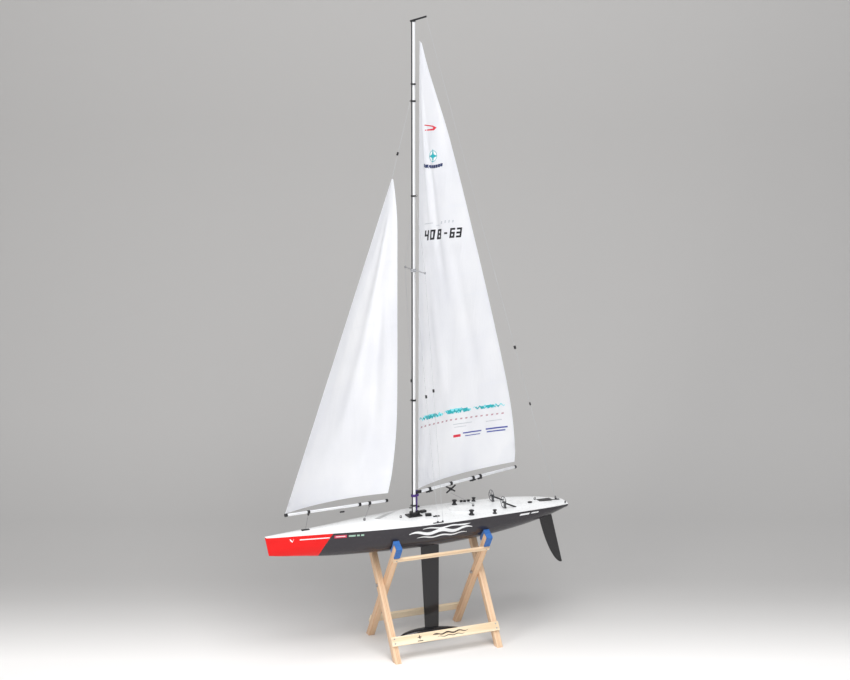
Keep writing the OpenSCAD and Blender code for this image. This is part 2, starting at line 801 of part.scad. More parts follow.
module chainplates() {
    color([0.08, 0.08, 0.09]) for (side = [-1, 1]) {
        z = deck_top(21, side * chain_y);
        y = side * chain_y;
        block([5, y - 2.5, z - 0.6], [39, y + 2.5, z + 1.6]);
        for (x = [chain_low[0], chain_high[0]]) difference() {
            block([x - 2.4, y - 1, z + 1.5], [x + 2.4, y + 1, z + 5.5]);
            translate([x, y + 5, z + 3.4]) rotate([90, 0, 0])
                cylinder(d = 1.6, h = 10, $fn = 16);
        }
    }
}

module deck_fittings() {
    color([0.08, 0.08, 0.09]) {
        for (p = eye_spots) translate([p[0], p[1], deck_top(p[0], p[1]) - 0.6]) {
            cylinder(d = 7, h = 2.4);
            translate([0, 0, 4.6]) rotate([90, 0, 0]) ring(5.6, 1.6);
        }
        for (p = clutch_spots) translate([p[0], p[1], deck_top(p[0], p[1]) - 0.6])
            block([-4, -2.4, 0], [4, 2.4, 7]);
        block([-383, -4, deck_top(-383, 0) - 0.4], [-359, 4, deck_top(-359, 0) + 2.4]);
        translate([0, 0, deck_top(40, -36) - 0.4]) difference() {
            block([30, -40, 0], [50, -32, 2.4]);
            block([36, -37.4, 0.8], [44, -34.6, 4]);
        }
    }
}

// Scale sheet winch: skirted base, waist and crowned drum top
module deck_winches() {
    color([0.07, 0.07, 0.08]) for (i = [0 : 3])
        translate([winch_spots[i][0], winch_spots[i][1],
            deck_top(winch_spots[i][0], winch_spots[i][1]) - 0.6])
            scale(winch_sizes[i]) rotate_extrude()
                polygon([[0, 0], [8.5, 0], [8.5, 2], [7, 3.4], [4.6, 7], [4.6, 9],
                    [7, 12.4], [8, 13.4], [8, 15.4], [5, 16.6], [0, 16.6]]);
}

module helm_pedestals() {
    color([0.08, 0.08, 0.09]) for (side = [-1, 1]) {
        base = deck_top(wheel_x + 6, side * wheel_y) - 0.6;
        translate([wheel_x + 6, side * wheel_y, base]) cylinder(d = 9, h = 3);
        rod([wheel_x + 6, side * wheel_y, base + 2], [wheel_x + 6, side * wheel_y, wheel_z], 7);
        rod([wheel_x + 8, side * wheel_y, wheel_z - 5], [wheel_x + 44, side * wheel_y, 409], 5);
        translate([wheel_x - 2.5, side * wheel_y, wheel_z]) rotate([0, 90, 0])
            cylinder(d = 3, h = 12);
        translate([wheel_x - 3.8, side * wheel_y, wheel_z]) rotate([0, 90, 0])
            cylinder(d = 5, h = 1.4);
    }
}

module helm_wheel() {
    rotate([0, 90, 0]) {
        difference() {
            union() {
                ring(wheel_d - 2, 2);
                translate([0, 0, -1.5]) cylinder(d = 7, h = 3);
                for (a = [0 : 60 : 300]) rotate([0, 0, a])
                    rod([3, 0, 0], [wheel_d / 2 - 1, 0, 0], 1.2);
            }
            translate([0, 0, -5]) cylinder(d = 3 + 2 * fit_gap, h = 10);
        }
    }
}

module helm_wheel_port() {
    color("darkgray") translate([wheel_x, -wheel_y, wheel_z]) helm_wheel();
}

module helm_wheel_starboard() {
    color("darkgray") translate([wheel_x, wheel_y, wheel_z]) helm_wheel();
}

module stern_fittings() {
    color([0.08, 0.08, 0.09]) {
        z = deck_top(470, 0);
        block([458, -3, z - 0.5], [484, 3, z + 1.6]);
        difference() {
            block([469, -1, z + 1.5], [475, 1, z + 6]);
            translate([472, 5, z + 3.4]) rotate([90, 0, 0]) cylinder(d = 1.6, h = 10, $fn = 16);
        }
        translate([371, -16, deck_top(371, -16) - 0.6]) scale([1, 0.7, 1]) cylinder(d = 15, h = 4);
        for (side = [-1, 1]) translate([488, side * 33, deck_top(488, side * 33) - 0.6])
            cylinder(d = 4, h = 7);
    }
    color("gainsboro")
        block([408, -12, deck_top(430, 0) + 0.2], [454, 12, deck_top(430, 0) + 2]);
}

module hatch_lid() {
    z = deck_top(hatch_x, 0) - deck_thick + 3.2 + eps;
    color("whitesmoke") difference() {
        union() {
            translate([hatch_x, 0, z]) cylinder(d = hatch_d + 7.4, h = 2.6, $fn = fine);
            translate([hatch_x, 0, z - 7]) cylinder(d = hatch_d - 0.6, h = 7.4, $fn = fine);
        }
        translate([hatch_x, 0, z - 8]) cylinder(d = hatch_d - 5, h = 8, $fn = fine);
        translate([hatch_x - 24, 0, z + 1.2]) cylinder(d = 9, h = 5);
    }
}

module switch_slider() {
    z = deck_top(40, -36) - 0.4;
    color([0.05, 0.05, 0.05]) block([36.3, -37.2, z + 0.9], [39.5, -34.8, z + 4.4]);
}

// ---------------------------------------------------------------- main boom and mainsail

module boom_frame() {
    translate([gooseneck_x, 0, gooseneck_z]) rotate([0, 0, main_sheet_angle]) children();
}

boom_run = main_boom_length * cos(boom_rise);

function boom_z(x) = x * tan(boom_rise);

module main_boom() {
    color("whitesmoke") boom_frame()
        tube([16, 0, boom_z(16)], [boom_run - 6, 0, boom_z(boom_run - 6)], boom_d, 1);
}

module main_boom_fittings() {
    color([0.07, 0.07, 0.08]) boom_frame() {
        difference() {
            union() {
                translate([0, 0, -4]) cylinder(d = 7.2, h = 8);
                block([3, -2.5, -4], [17, 2.5, 5]);
                rod([15, 0, boom_z(15)], [30, 0, boom_z(30)], boom_d - 2.02);
            }
            translate([0, 0, -10])
                cylinder(d = gooseneck_rod_d + 2 * fit_gap, h = 20);
        }
        for (x = [48, 130, 216, 244]) translate([x, 0, boom_z(x)]) rotate([0, 90 - boom_rise, 0])
            difference() {
                cylinder(d = boom_d + 3, h = 8, center = true);
                cylinder(d = boom_d + eps, h = 10, center = true);
            }
        translate([48, 0, boom_z(48) - 8.4]) rotate([90, 0, 0]) ring(4.6, 1.6);
        translate([216, 0, boom_z(216) - 8.4]) rotate([90, 0, 0]) ring(4.6, 1.6);
        translate([130, 0, boom_z(130) - 17.4]) sheet_block();
        rod([boom_run - 14, 0, boom_z(boom_run - 14)], [boom_run, 0, boom_z(boom_run)],
            boom_d - 2.02);
        translate([boom_run - 3, 0, boom_z(boom_run - 3)]) rotate([0, 90 - boom_rise, 0])
            cylinder(d = boom_d + 1.4, h = 6, center = true);
    }
}

// Hanging pulley block: two crossed cheeks round a sheave
module sheet_block() {
    for (tilt = [-60, 60]) rotate([0, 90 + tilt, 0]) rotate([90, 0, 0])
        translate([0, 0, tilt > 0 ? 0 : -2]) linear_extrude(2) square([40, 4.6], center = true);
    rotate([90, 0, 0]) cylinder(d = 9, h = 7, center = true);
}

module mainsail() {
    color("white") boom_frame() translate([0, 0, -gooseneck_z])
        skin([for (j = [0 : sail_rows]) sail_loop(main_row(j / sail_rows), sail_thick / 2)], true);
}

main_sheet_top = [gooseneck_x + 130 * cos(main_sheet_angle), 130 * sin(main_sheet_angle),
    gooseneck_z + boom_z(130) - 30];

// Both sheets and the jib's tack line, all made fast on the deck
module sheets() {
    color("lightgray") {
        rod([190, 18, 417], main_sheet_top, line_d);
        rod([-182, 0, 416.5], [-160, 15.6, 450], line_d);
        rod([-370.8, 0, 407.4], [-362.4, 0, 448.6], line_d);
    }
}

// ---------------------------------------------------------------- jib

module jib_frame() {
    axis_lean = atan(jib_line_slope);
    translate(jib_swivel) rotate([0, axis_lean, 0]) rotate([0, 0, jib_sheet_angle])
        rotate([0, -axis_lean, 0]) translate(-jib_swivel) children();
}

module jib_boom() {
    color("whitesmoke") jib_frame()
        tube([jib_boom_fore + 4, 0, jib_boom_z], [jib_boom_aft - 4, 0, jib_boom_z], boom_d - 1, 1);
}

module jib_boom_fittings() {
    inner_d = boom_d - 3.02;
    color([0.07, 0.07, 0.08]) jib_frame() {
        for (x = [jib_boom_fore, jib_boom_aft - 8])
            translate([x, 0, jib_boom_z]) rotate([0, 90, 0]) difference() {
                cylinder(d = boom_d + 1, h = 8);
                translate([0, 0, x < -200 ? 4 : -2]) cylinder(d = boom_d - 1 + eps, h = 6);
            }
        for (x = [jib_swivel[0], -192, -159]) translate([x, 0, jib_boom_z]) rotate([0, 90, 0])
            difference() {
                cylinder(d = boom_d + 2, h = 8, center = true);
                cylinder(d = boom_d - 1 + eps, h = 10, center = true);
            }
        translate(jib_swivel + [0, 0, -0.2]) rotate([90, 0, 0]) ring(4.6, 1.6);
        translate(jib_swivel) rotate([0, atan(jib_line_slope), 0]) translate([0, 0, -3])
            cylinder(d = 2.4, h = 6);
        translate([-159, 0, jib_boom_z - 7.8]) rotate([90, 0, 0]) ring(4.6, 1.6);
        translate([-250, 0, jib_boom_z - 15]) rotate([0, 90, 0]) cylinder(d = 5, h = 14, center = true);
        rod([jib_boom_fore + 2, 0, jib_boom_z], [jib_boom_fore + 16, 0, jib_boom_z], inner_d);
        rod([jib_boom_aft - 16, 0, jib_boom_z], [jib_boom_aft - 2, 0, jib_boom_z], inner_d);
    }
}

module jib() {
    color("white") jib_frame()
        skin([for (j = [0 : sail_rows]) sail_loop(jib_row(j / sail_rows), sail_thick / 2)], true);
}

module jib_halyard() {
    color("lightgray") jib_frame()
        rod([jib_luff_x(jib_head_z) + 1, 0, jib_head_z + 1], jib_hook + [-3.4, 0, -3], line_d);
}

outer_leg_fore();
outer_leg_aft();
inner_leg_fore();
inner_leg_aft();
outer_bottom_rail();
inner_bottom_rail();
outer_top_rail();
inner_top_rail();
outer_pad_fore();
outer_pad_aft();
inner_pad_fore();
inner_pad_aft();
cross_bolt_fore();
cross_bolt_aft();
outer_rail_screws();
inner_rail_screws();
hull_shell();
deck();
hatch_frame();
keel_trunk();
keel_fin();
ballast_bulb();
keel_nut();
rudder_tube();
servo_tray();
rudder_servo();
winch_servo();
receiver();
battery_box();
battery_cells();
mast_step();
mast();
masthead_crane();
spreaders();
gooseneck();
mast_fittings();
standing_rigging();
rigging_bowsies();
chainplates();
deck_fittings();
deck_winches();
helm_pedestals();
stern_fittings();
hatch_lid();
rudder_blade();
tiller_arm();
servo_horn();
rudder_pushrod();
winch_drum();
helm_wheel_port();
helm_wheel_starboard();
switch_slider();
main_boom();
main_boom_fittings();
mainsail();
sheets();
jib_boom();
jib_boom_fittings();
jib();
jib_halyard();
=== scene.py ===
import math

import bmesh
import bpy
from mathutils import Matrix, Vector, noise


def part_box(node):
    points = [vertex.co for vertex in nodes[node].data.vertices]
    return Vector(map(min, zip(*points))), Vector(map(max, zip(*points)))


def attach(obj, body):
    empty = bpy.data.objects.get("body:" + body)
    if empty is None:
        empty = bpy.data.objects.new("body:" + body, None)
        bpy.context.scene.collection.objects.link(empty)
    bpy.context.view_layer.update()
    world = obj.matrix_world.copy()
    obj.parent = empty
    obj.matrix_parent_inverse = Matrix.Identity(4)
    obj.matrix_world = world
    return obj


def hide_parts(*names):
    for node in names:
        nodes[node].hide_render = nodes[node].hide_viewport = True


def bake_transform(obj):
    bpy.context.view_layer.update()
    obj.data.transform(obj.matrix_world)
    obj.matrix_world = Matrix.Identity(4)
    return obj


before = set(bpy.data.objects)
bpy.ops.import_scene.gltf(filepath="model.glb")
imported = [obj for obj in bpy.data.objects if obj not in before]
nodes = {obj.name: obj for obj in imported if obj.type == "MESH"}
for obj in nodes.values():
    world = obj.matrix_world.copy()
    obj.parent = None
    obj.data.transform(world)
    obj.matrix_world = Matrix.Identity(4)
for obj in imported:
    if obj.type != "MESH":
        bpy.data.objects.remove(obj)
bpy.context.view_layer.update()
MM = 0.001


# ------------------------------------------------------------------ shape tables, in mm

BOW, STERN = -497.5, 497.5
STATIONS = [
    (BOW, 3.5, 397.5, 341.5, 1.7),
    (-460, 13.5, 398, 336.5, 1.8),
    (-400, 25, 398.5, 330.5, 2),
    (-300, 44, 399, 320, 2.2),
    (-180, 70, 400.5, 316.5, 2.4),
    (-60, 89, 402.5, 315, 2.4),
    (60, 97, 404, 315.5, 2.2),
    (200, 90, 404.8, 322, 2),
    (330, 82, 404.8, 340, 2),
    (430, 62, 401, 361, 2),
    (STERN, 35, 395.5, 380, 2),
]
MAIN_LEECH = [(520, 383), (560, 386), (700, 371), (910, 322), (1212, 237), (1551, 129),
              (1760, 44), (1830, 20)]
JIB_LEECH = [(484, -96), (548, -81), (683, -65), (870, -61), (1047, -62), (1215, -64),
             (1320, -67), (1395, -76), (1438, -84)]
MAIN_LUFF = (492, 1836)
MAIN_EDGE = (520, 1830)
JIB_CLEW_Z = 484
TWIST = math.radians(6)
CROSS_Z = 204
DECK_THICK = 2.0
GOOSE = Vector((-10, 0, 482))
MAIN_ANGLE = math.radians(12)
JIB_ANGLE = math.radians(4.5)
JIB_HOOK = Vector((-27, 0, 1663))
JIB_SWIVEL = Vector((-361, 0, 453))
JIB_HEAD_Z = 1438
JIB_TACK = (-436, 466)
BOOM_RISE = math.radians(3.05)
RAKE = math.radians(14.3)
LEAN = math.radians(32.8)


def read(table, x, c=1):
    i = 0
    while i < len(table) - 2 and x >= table[i + 1][0]:
        i += 1

    def slope(k):
        a, b = max(k - 1, 0), min(k + 1, len(table) - 1)
        return (table[b][c] - table[a][c]) / (table[b][0] - table[a][0])

    w = table[i + 1][0] - table[i][0]
    t = (x - table[i][0]) / w
    m0, m1 = slope(i) * w, slope(i + 1) * w
    return (table[i][c] * (2 * t**3 - 3 * t * t + 1) + m0 * (t**3 - 2 * t * t + t)
            + table[i + 1][c] * (3 * t * t - 2 * t**3) + m1 * (t**3 - t * t))


def beam(x):
    return read(STATIONS, x, 1)


def sheer(x):
    return read(STATIONS, x, 2)


def keel(x):
    return read(STATIONS, x, 3)


def fullness(x):
    return read(STATIONS, x, 4)


def lerp(a, b, t):
    return a + (b - a) * t


def ramp(t):
    return min(1, max(0, t))


def smooth(t):
    t = ramp(t)
    return t * t * (3 - 2 * t)


# ------------------------------------------------------------------ mesh helpers


def link(name, mesh):
    obj = bpy.data.objects.new(name, mesh)
    bpy.context.scene.collection.objects.link(obj)
    return obj


def build(name, verts, faces, mats, indices=None, sharp=38):
    mesh = bpy.data.meshes.new(name)
    mesh.from_pydata([Vector(v) * MM for v in verts], [], faces)
    for m in mats:
        mesh.materials.append(m)
    if indices:
        mesh.polygons.foreach_set("material_index", indices)
    mesh.polygons.foreach_set("use_smooth", [True] * len(mesh.polygons))
    mesh.update()
    mesh.set_sharp_from_angle(angle=math.radians(sharp))
    return link(name, mesh)


def from_bm(name, bm, mats, sharp=35, scale=MM):
    mesh = bpy.data.meshes.new(name)
    bmesh.ops.recalc_face_normals(bm, faces=bm.faces)
    bm.to_mesh(mesh)
    bm.free()
    if scale != 1:
        mesh.transform(Matrix.Scale(scale, 4))
    for m in mats:
        mesh.materials.append(m)
    mesh.polygons.foreach_set("use_smooth", [True] * len(mesh.polygons))
    mesh.update()
    mesh.set_sharp_from_angle(angle=math.radians(sharp))
    return link(name, mesh)


def grid_faces(rows, cols, closed=False, base=0, flip=False):
    faces = []
    wide = cols if closed else cols - 1
    for j in range(rows - 1):
        for i in range(wide):
            a = base + j * cols + i
            b = base + j * cols + (i + 1) % cols
            quad = (a, b, b + cols, a + cols)
            faces.append(quad[::-1] if flip else quad)
    return faces


def tube_bm(bm, a, b, r0, r1=None, seg=24, caps=True):
    a, b = Vector(a), Vector(b)
    r1 = r0 if r1 is None else r1
    rot = (b - a).to_track_quat("Z", "Y").to_matrix().to_4x4()
    m = Matrix.Translation((a + b) / 2) @ rot
    bmesh.ops.create_cone(bm, cap_ends=caps, segments=seg, radius1=r0, radius2=r1,
                          depth=(b - a).length, matrix=m)


def lathe_bm(bm, profile, matrix, seg=40):
    """Turns a profile of (radius, height) about Z, then places it."""
    loops = []
    for r, z in profile:
        if r < 1e-6:
            loops.append([bm.verts.new(matrix @ Vector((0, 0, z)))])
        else:
            loops.append([bm.verts.new(matrix @ Vector((
                r * math.cos(2 * math.pi * k / seg), r * math.sin(2 * math.pi * k / seg), z)))
                for k in range(seg)])
    for low, high in zip(loops, loops[1:]):
        for k in range(seg):
            n = (k + 1) % seg
            if len(low) == 1 and len(high) > 1:
                bm.faces.new((low[0], high[n], high[k]))
            elif len(high) == 1 and len(low) > 1:
                bm.faces.new((low[k], low[n], high[0]))
            elif len(low) > 1:
                bm.faces.new((low[k], low[n], high[n], high[k]))


def rounded(points, radius, steps=4):
    """A closed outline with each corner rounded."""
    out = []
    n = len(points)
    for i in range(n):
        p = Vector(points[i])
        a, b = Vector(points[i - 1]) - p, Vector(points[(i + 1) % n]) - p
        r = min(radius, a.length * 0.45, b.length * 0.45)
        s, e = p + a.normalized() * r, p + b.normalized() * r
        for k in range(steps + 1):
            t = k / steps
            out.append((s * (1 - t) ** 2 + p * 2 * t * (1 - t) + e * t * t))
    return out


def prism_bm(bm, outline, matrix, depth, bevel=0.0, segments=2):
    """Extrudes a flat outline along its local Z, with its rims rounded."""
    low = [bm.verts.new(matrix @ Vector((p[0], p[1], 0))) for p in outline]
    high = [bm.verts.new(matrix @ Vector((p[0], p[1], depth))) for p in outline]
    n = len(outline)
    rim = [bm.faces.new(low[::-1]), bm.faces.new(high)]
    for i in range(n):
        bm.faces.new((low[i], low[(i + 1) % n], high[(i + 1) % n], high[i]))
    if bevel:
        edges = list({e for f in rim for e in f.edges})
        bmesh.ops.bevel(bm, geom=edges, offset=bevel, segments=segments, affect="EDGES",
                        profile=0.5)


def soften(name, node, width, mats, body, sharp=40):
    """A CAD node's own shape with its sharp edges rounded, for better highlights."""
    bm = bmesh.new()
    bm.from_mesh(nodes[node].data)
    bmesh.ops.remove_doubles(bm, verts=bm.verts, dist=1e-6)
    bmesh.ops.dissolve_limit(bm, angle_limit=math.radians(1.5), verts=bm.verts, edges=bm.edges)
    edges = [e for e in bm.edges
             if len(e.link_faces) == 2 and e.calc_face_angle(0) > math.radians(30)]
    bmesh.ops.bevel(bm, geom=edges, offset=width * MM, segments=2, affect="EDGES",
                    profile=0.5, clamp_overlap=True)
    obj = from_bm(name, bm, mats, sharp, 1)
    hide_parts(node)
    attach(obj, body)
    return obj


# ------------------------------------------------------------------ materials


def material(name):
    mat = bpy.data.materials.new(name)
    mat.use_nodes = True
    tree = mat.node_tree
    return mat, tree, tree.nodes["Principled BSDF"]


def node(tree, kind, **values):
    n = tree.nodes.new(kind)
    for key, value in values.items():
        if key in n.inputs.keys():
            n.inputs[key].default_value = value
        else:
            setattr(n, key, value)
    return n


def coords(tree, scale=(1, 1, 1), turn=(0, 0, 0)):
    """Object coordinates in metres, turned and then scaled."""
    tex = node(tree, "ShaderNodeTexCoord")
    mapping = node(tree, "ShaderNodeMapping", vector_type="TEXTURE")
    mapping.inputs["Rotation"].default_value = turn
    mapping.inputs["Scale"].default_value = [1 / s for s in scale]
    tree.links.new(tex.outputs["Object"], mapping.inputs["Vector"])
    return mapping.outputs["Vector"]


def noise_tex(tree, vector, scale, detail=3, rough=0.5, distortion=0.0):
    n = node(tree, "ShaderNodeTexNoise", Scale=scale, Detail=detail, Roughness=rough,
             Distortion=distortion)
    tree.links.new(vector, n.inputs["Vector"])
    return n.outputs["Fac"]


def color_ramp(tree, value, stops):
    r = node(tree, "ShaderNodeValToRGB")
    while len(r.color_ramp.elements) < len(stops):
        r.color_ramp.elements.new(0.5)
    for element, (pos, color) in zip(r.color_ramp.elements, stops):
        element.position = pos
        element.color = (*color, 1) if len(color) == 3 else (color[0],) * 3 + (1,)
    tree.links.new(value, r.inputs["Fac"])
    return r.outputs["Color"]


def map_range(tree, value, low, high, to_low, to_high):
    m = node(tree, "ShaderNodeMapRange")
    m.inputs["From Min"].default_value = low
    m.inputs["From Max"].default_value = high
    m.inputs["To Min"].default_value = to_low
    m.inputs["To Max"].default_value = to_high
    tree.links.new(value, m.inputs["Value"])
    return m.outputs["Result"]


def bump(tree, bsdf, height, strength, distance=0.001):
    b = node(tree, "ShaderNodeBump", Strength=strength, Distance=distance)
    tree.links.new(height, b.inputs["Height"])
    tree.links.new(b.outputs["Normal"], bsdf.inputs["Normal"])
    return b


def plastic(name, color, rough, spread=0.08, grain=900, strength=0.06, coat=0.0):
    """Moulded plastic: fine grain, and roughness and tone that drift slightly."""
    mat, tree, bsdf = material(name)
    v = coords(tree)
    drift = noise_tex(tree, v, 38, 3)
    dark = [c * (1 - spread) for c in color]
    light = [min(1, c * (1 + spread)) for c in color]
    tree.links.new(color_ramp(tree, drift, [(0.3, dark), (0.7, light)]),
                   bsdf.inputs["Base Color"])
    tree.links.new(map_range(tree, drift, 0.3, 0.7, rough * 0.85, min(1, rough * 1.2)),
                   bsdf.inputs["Roughness"])
    bsdf.inputs["Coat Weight"].default_value = coat
    bsdf.inputs["Coat Roughness"].default_value = 0.08
    bsdf.inputs["Specular IOR Level"].default_value = 0.32
    bump(tree, bsdf, noise_tex(tree, v, grain, 2), strength, 0.0002)
    return mat


def gelcoat(name, color, rough, coat=0.6, ripple=0.05):
    """Painted hull or deck: long faint ripples under a clear coat."""
    mat, tree, bsdf = material(name)
    v = coords(tree)
    drift = noise_tex(tree, coords(tree, (3, 9, 12)), 2.2, 2)
    dark = [c * 0.93 for c in color]
    light = [min(1, c * 1.06) for c in color]
    tree.links.new(color_ramp(tree, drift, [(0.3, dark), (0.7, light)]),
                   bsdf.inputs["Base Color"])
    dust = noise_tex(tree, v, 160, 5, 0.7)
    tree.links.new(map_range(tree, dust, 0.35, 0.75, rough, rough + 0.1),
                   bsdf.inputs["Roughness"])
    bsdf.inputs["Coat Weight"].default_value = coat
    bsdf.inputs["Coat Roughness"].default_value = 0.05
    bsdf.inputs["Specular IOR Level"].default_value = 0.3
    bump(tree, bsdf, noise_tex(tree, coords(tree, (1, 2, 2)), 14, 1), ripple, 0.002)
    return mat


def metal(name, color, rough, along=(8, 8, 400), strength=0.05, metallic=1.0):
    """Drawn or brushed metal with fine lines along one direction."""
    mat, tree, bsdf = material(name)
    lines = noise_tex(tree, coords(tree, along), 6, 3, 0.6)
    dark = [c * 0.9 for c in color]
    light = [min(1, c * 1.07) for c in color]
    tree.links.new(color_ramp(tree, lines, [(0.3, dark), (0.7, light)]),
                   bsdf.inputs["Base Color"])
    tree.links.new(map_range(tree, lines, 0.3, 0.7, rough * 0.8, rough * 1.25),
                   bsdf.inputs["Roughness"])
    bsdf.inputs["Metallic"].default_value = metallic
    bump(tree, bsdf, lines, strength, 0.0001)
    return mat


def wood(name, turn, light, dark, shift):
    """Planed pine: growth rings drawn out along the grain, fine pores, satin finish."""
    mat, tree, bsdf = material(name)
    v = coords(tree, (34, 34, 2.6), turn)
    warp = node(tree, "ShaderNodeVectorMath", operation="ADD")
    tree.links.new(v, warp.inputs[0])
    warp.inputs[1].default_value = shift
    rings = node(tree, "ShaderNodeTexWave", wave_type="RINGS", rings_direction="Z",
                 Scale=0.75, Distortion=2.6, Detail=3)
    rings.inputs["Detail Scale"].default_value = 1.1
    tree.links.new(warp.outputs[0], rings.inputs["Vector"])
    soft = noise_tex(tree, coords(tree, (9, 9, 1.2), turn), 3, 3)
    band = color_ramp(tree, rings.outputs["Fac"],
                      [(0.0, light), (0.55, light), (0.86, dark), (1.0, light)])
    tone = color_ramp(tree, soft, [(0.25, (0.93, 0.90, 0.86)), (0.75, (1, 1, 1))])
    mix = node(tree, "ShaderNodeMix", data_type="RGBA", blend_type="MULTIPLY")
    mix.inputs["Factor"].default_value = 1.0
    tree.links.new(band, mix.inputs[6])
    tree.links.new(tone, mix.inputs[7])
    tree.links.new(mix.outputs[2], bsdf.inputs["Base Color"])
    pores = noise_tex(tree, coords(tree, (900, 900, 40), turn), 1, 4, 0.65)
    tree.links.new(map_range(tree, pores, 0.3, 0.7, 0.42, 0.62), bsdf.inputs["Roughness"])
    bump(tree, bsdf, pores, 0.18, 0.0003)
    return mat


def foam(name, color):
    """Closed-cell foam: a fine pebbled skin with paler worn spots."""
    mat, tree, bsdf = material(name)
    v = coords(tree)
    cells = node(tree, "ShaderNodeTexVoronoi", Scale=1100)
    tree.links.new(v, cells.inputs["Vector"])
    worn = noise_tex(tree, v, 120, 4, 0.6)
    pale = [min(1, c * 1.35 + 0.02) for c in color]
    tree.links.new(color_ramp(tree, worn, [(0.35, color), (0.8, pale)]),
                   bsdf.inputs["Base Color"])
    bsdf.inputs["Roughness"].default_value = 0.72
    bsdf.inputs["Sheen Weight"].default_value = 0.25
    bump(tree, bsdf, cells.outputs["Distance"], 0.35, 0.0005)
    return mat


def sailcloth(name, color, tint):
    """Thin film sailcloth: fine weave, faint crinkles, and light showing through."""
    mat, tree, bsdf = material(name)
    v = coords(tree)
    cloud = noise_tex(tree, coords(tree, (1, 1, 0.6)), 7, 4, 0.55)
    base = color_ramp(tree, cloud, [(0.3, tint), (0.7, color)])
    tree.links.new(base, bsdf.inputs["Base Color"])
    rough = noise_tex(tree, v, 60, 3)
    tree.links.new(map_range(tree, rough, 0.3, 0.7, 0.38, 0.5), bsdf.inputs["Roughness"])
    bsdf.inputs["Sheen Weight"].default_value = 0.08
    crease = noise_tex(tree, coords(tree, (1.6, 1.6, 0.42)), 11, 5, 0.52, 0.6)
    weave = node(tree, "ShaderNodeTexChecker", Scale=1400)
    tree.links.new(v, weave.inputs["Vector"])
    first = bump(tree, bsdf, crease, 0.42, 0.006)
    second = node(tree, "ShaderNodeBump", Strength=0.05, Distance=0.0001)
    tree.links.new(weave.outputs["Fac"], second.inputs["Height"])
    tree.links.new(first.outputs["Normal"], second.inputs["Normal"])
    tree.links.new(second.outputs["Normal"], bsdf.inputs["Normal"])
    through = node(tree, "ShaderNodeBsdfTranslucent")
    tree.links.new(base, through.inputs["Color"])
    blend = node(tree, "ShaderNodeMixShader")
    blend.inputs["Fac"].default_value = 0.3
    out = tree.nodes["Material Output"]
    tree.links.new(bsdf.outputs[0], blend.inputs[1])
    tree.links.new(through.outputs[0], blend.inputs[2])
    tree.links.new(blend.outputs[0], out.inputs["Surface"])
    return mat


def braid(name, color):
    """Braided cord: one set of strands drawn as bands."""
    mat, tree, bsdf = material(name)
    v = coords(tree, (1, 1, 1), (0, 0.3, 0.2))
    strands = node(tree, "ShaderNodeTexWave", wave_type="BANDS", bands_direction="Z",
                   Scale=260, Distortion=1.5, Detail=1)
    tree.links.new(v, strands.inputs["Vector"])
    dark = [c * 0.8 for c in color]
    tree.links.new(color_ramp(tree, strands.outputs["Fac"], [(0.2, dark), (0.7, color)]),
                   bsdf.inputs["Base Color"])
    bsdf.inputs["Roughness"].default_value = 0.65
    bump(tree, bsdf, strands.outputs["Fac"], 0.4, 0.0002)
    return mat


def mast_tube(name):
    """Bright anodised tube with a painted dark reflection down its fore side."""
    mat, tree, bsdf = material(name)
    lines = noise_tex(tree, coords(tree, (60, 60, 1.5)), 6, 3, 0.6)
    bright = color_ramp(tree, lines, [(0.3, (0.80, 0.81, 0.83)), (0.7, (0.90, 0.91, 0.92))])
    axes = node(tree, "ShaderNodeSeparateXYZ")
    tree.links.new(coords(tree), axes.inputs["Vector"])
    # Dark band on the fore side of the tube: a painted dark reflection.
    dark_reflection_band = map_range(tree, axes.outputs["X"], -0.0241, -0.0237, 1, 0)
    mix = node(tree, "ShaderNodeMix", data_type="RGBA")
    tree.links.new(dark_reflection_band, mix.inputs["Factor"])
    tree.links.new(bright, mix.inputs[6])
    mix.inputs[7].default_value = (0.05, 0.05, 0.055, 1)
    tree.links.new(mix.outputs[2], bsdf.inputs["Base Color"])
    tree.links.new(map_range(tree, lines, 0.3, 0.7, 0.26, 0.38), bsdf.inputs["Roughness"])
    bsdf.inputs["Metallic"].default_value = 0.25
    bump(tree, bsdf, lines, 0.05, 0.0001)
    return mat


PINE_LIGHT, PINE_DARK = (0.86, 0.62, 0.42), (0.70, 0.43, 0.25)
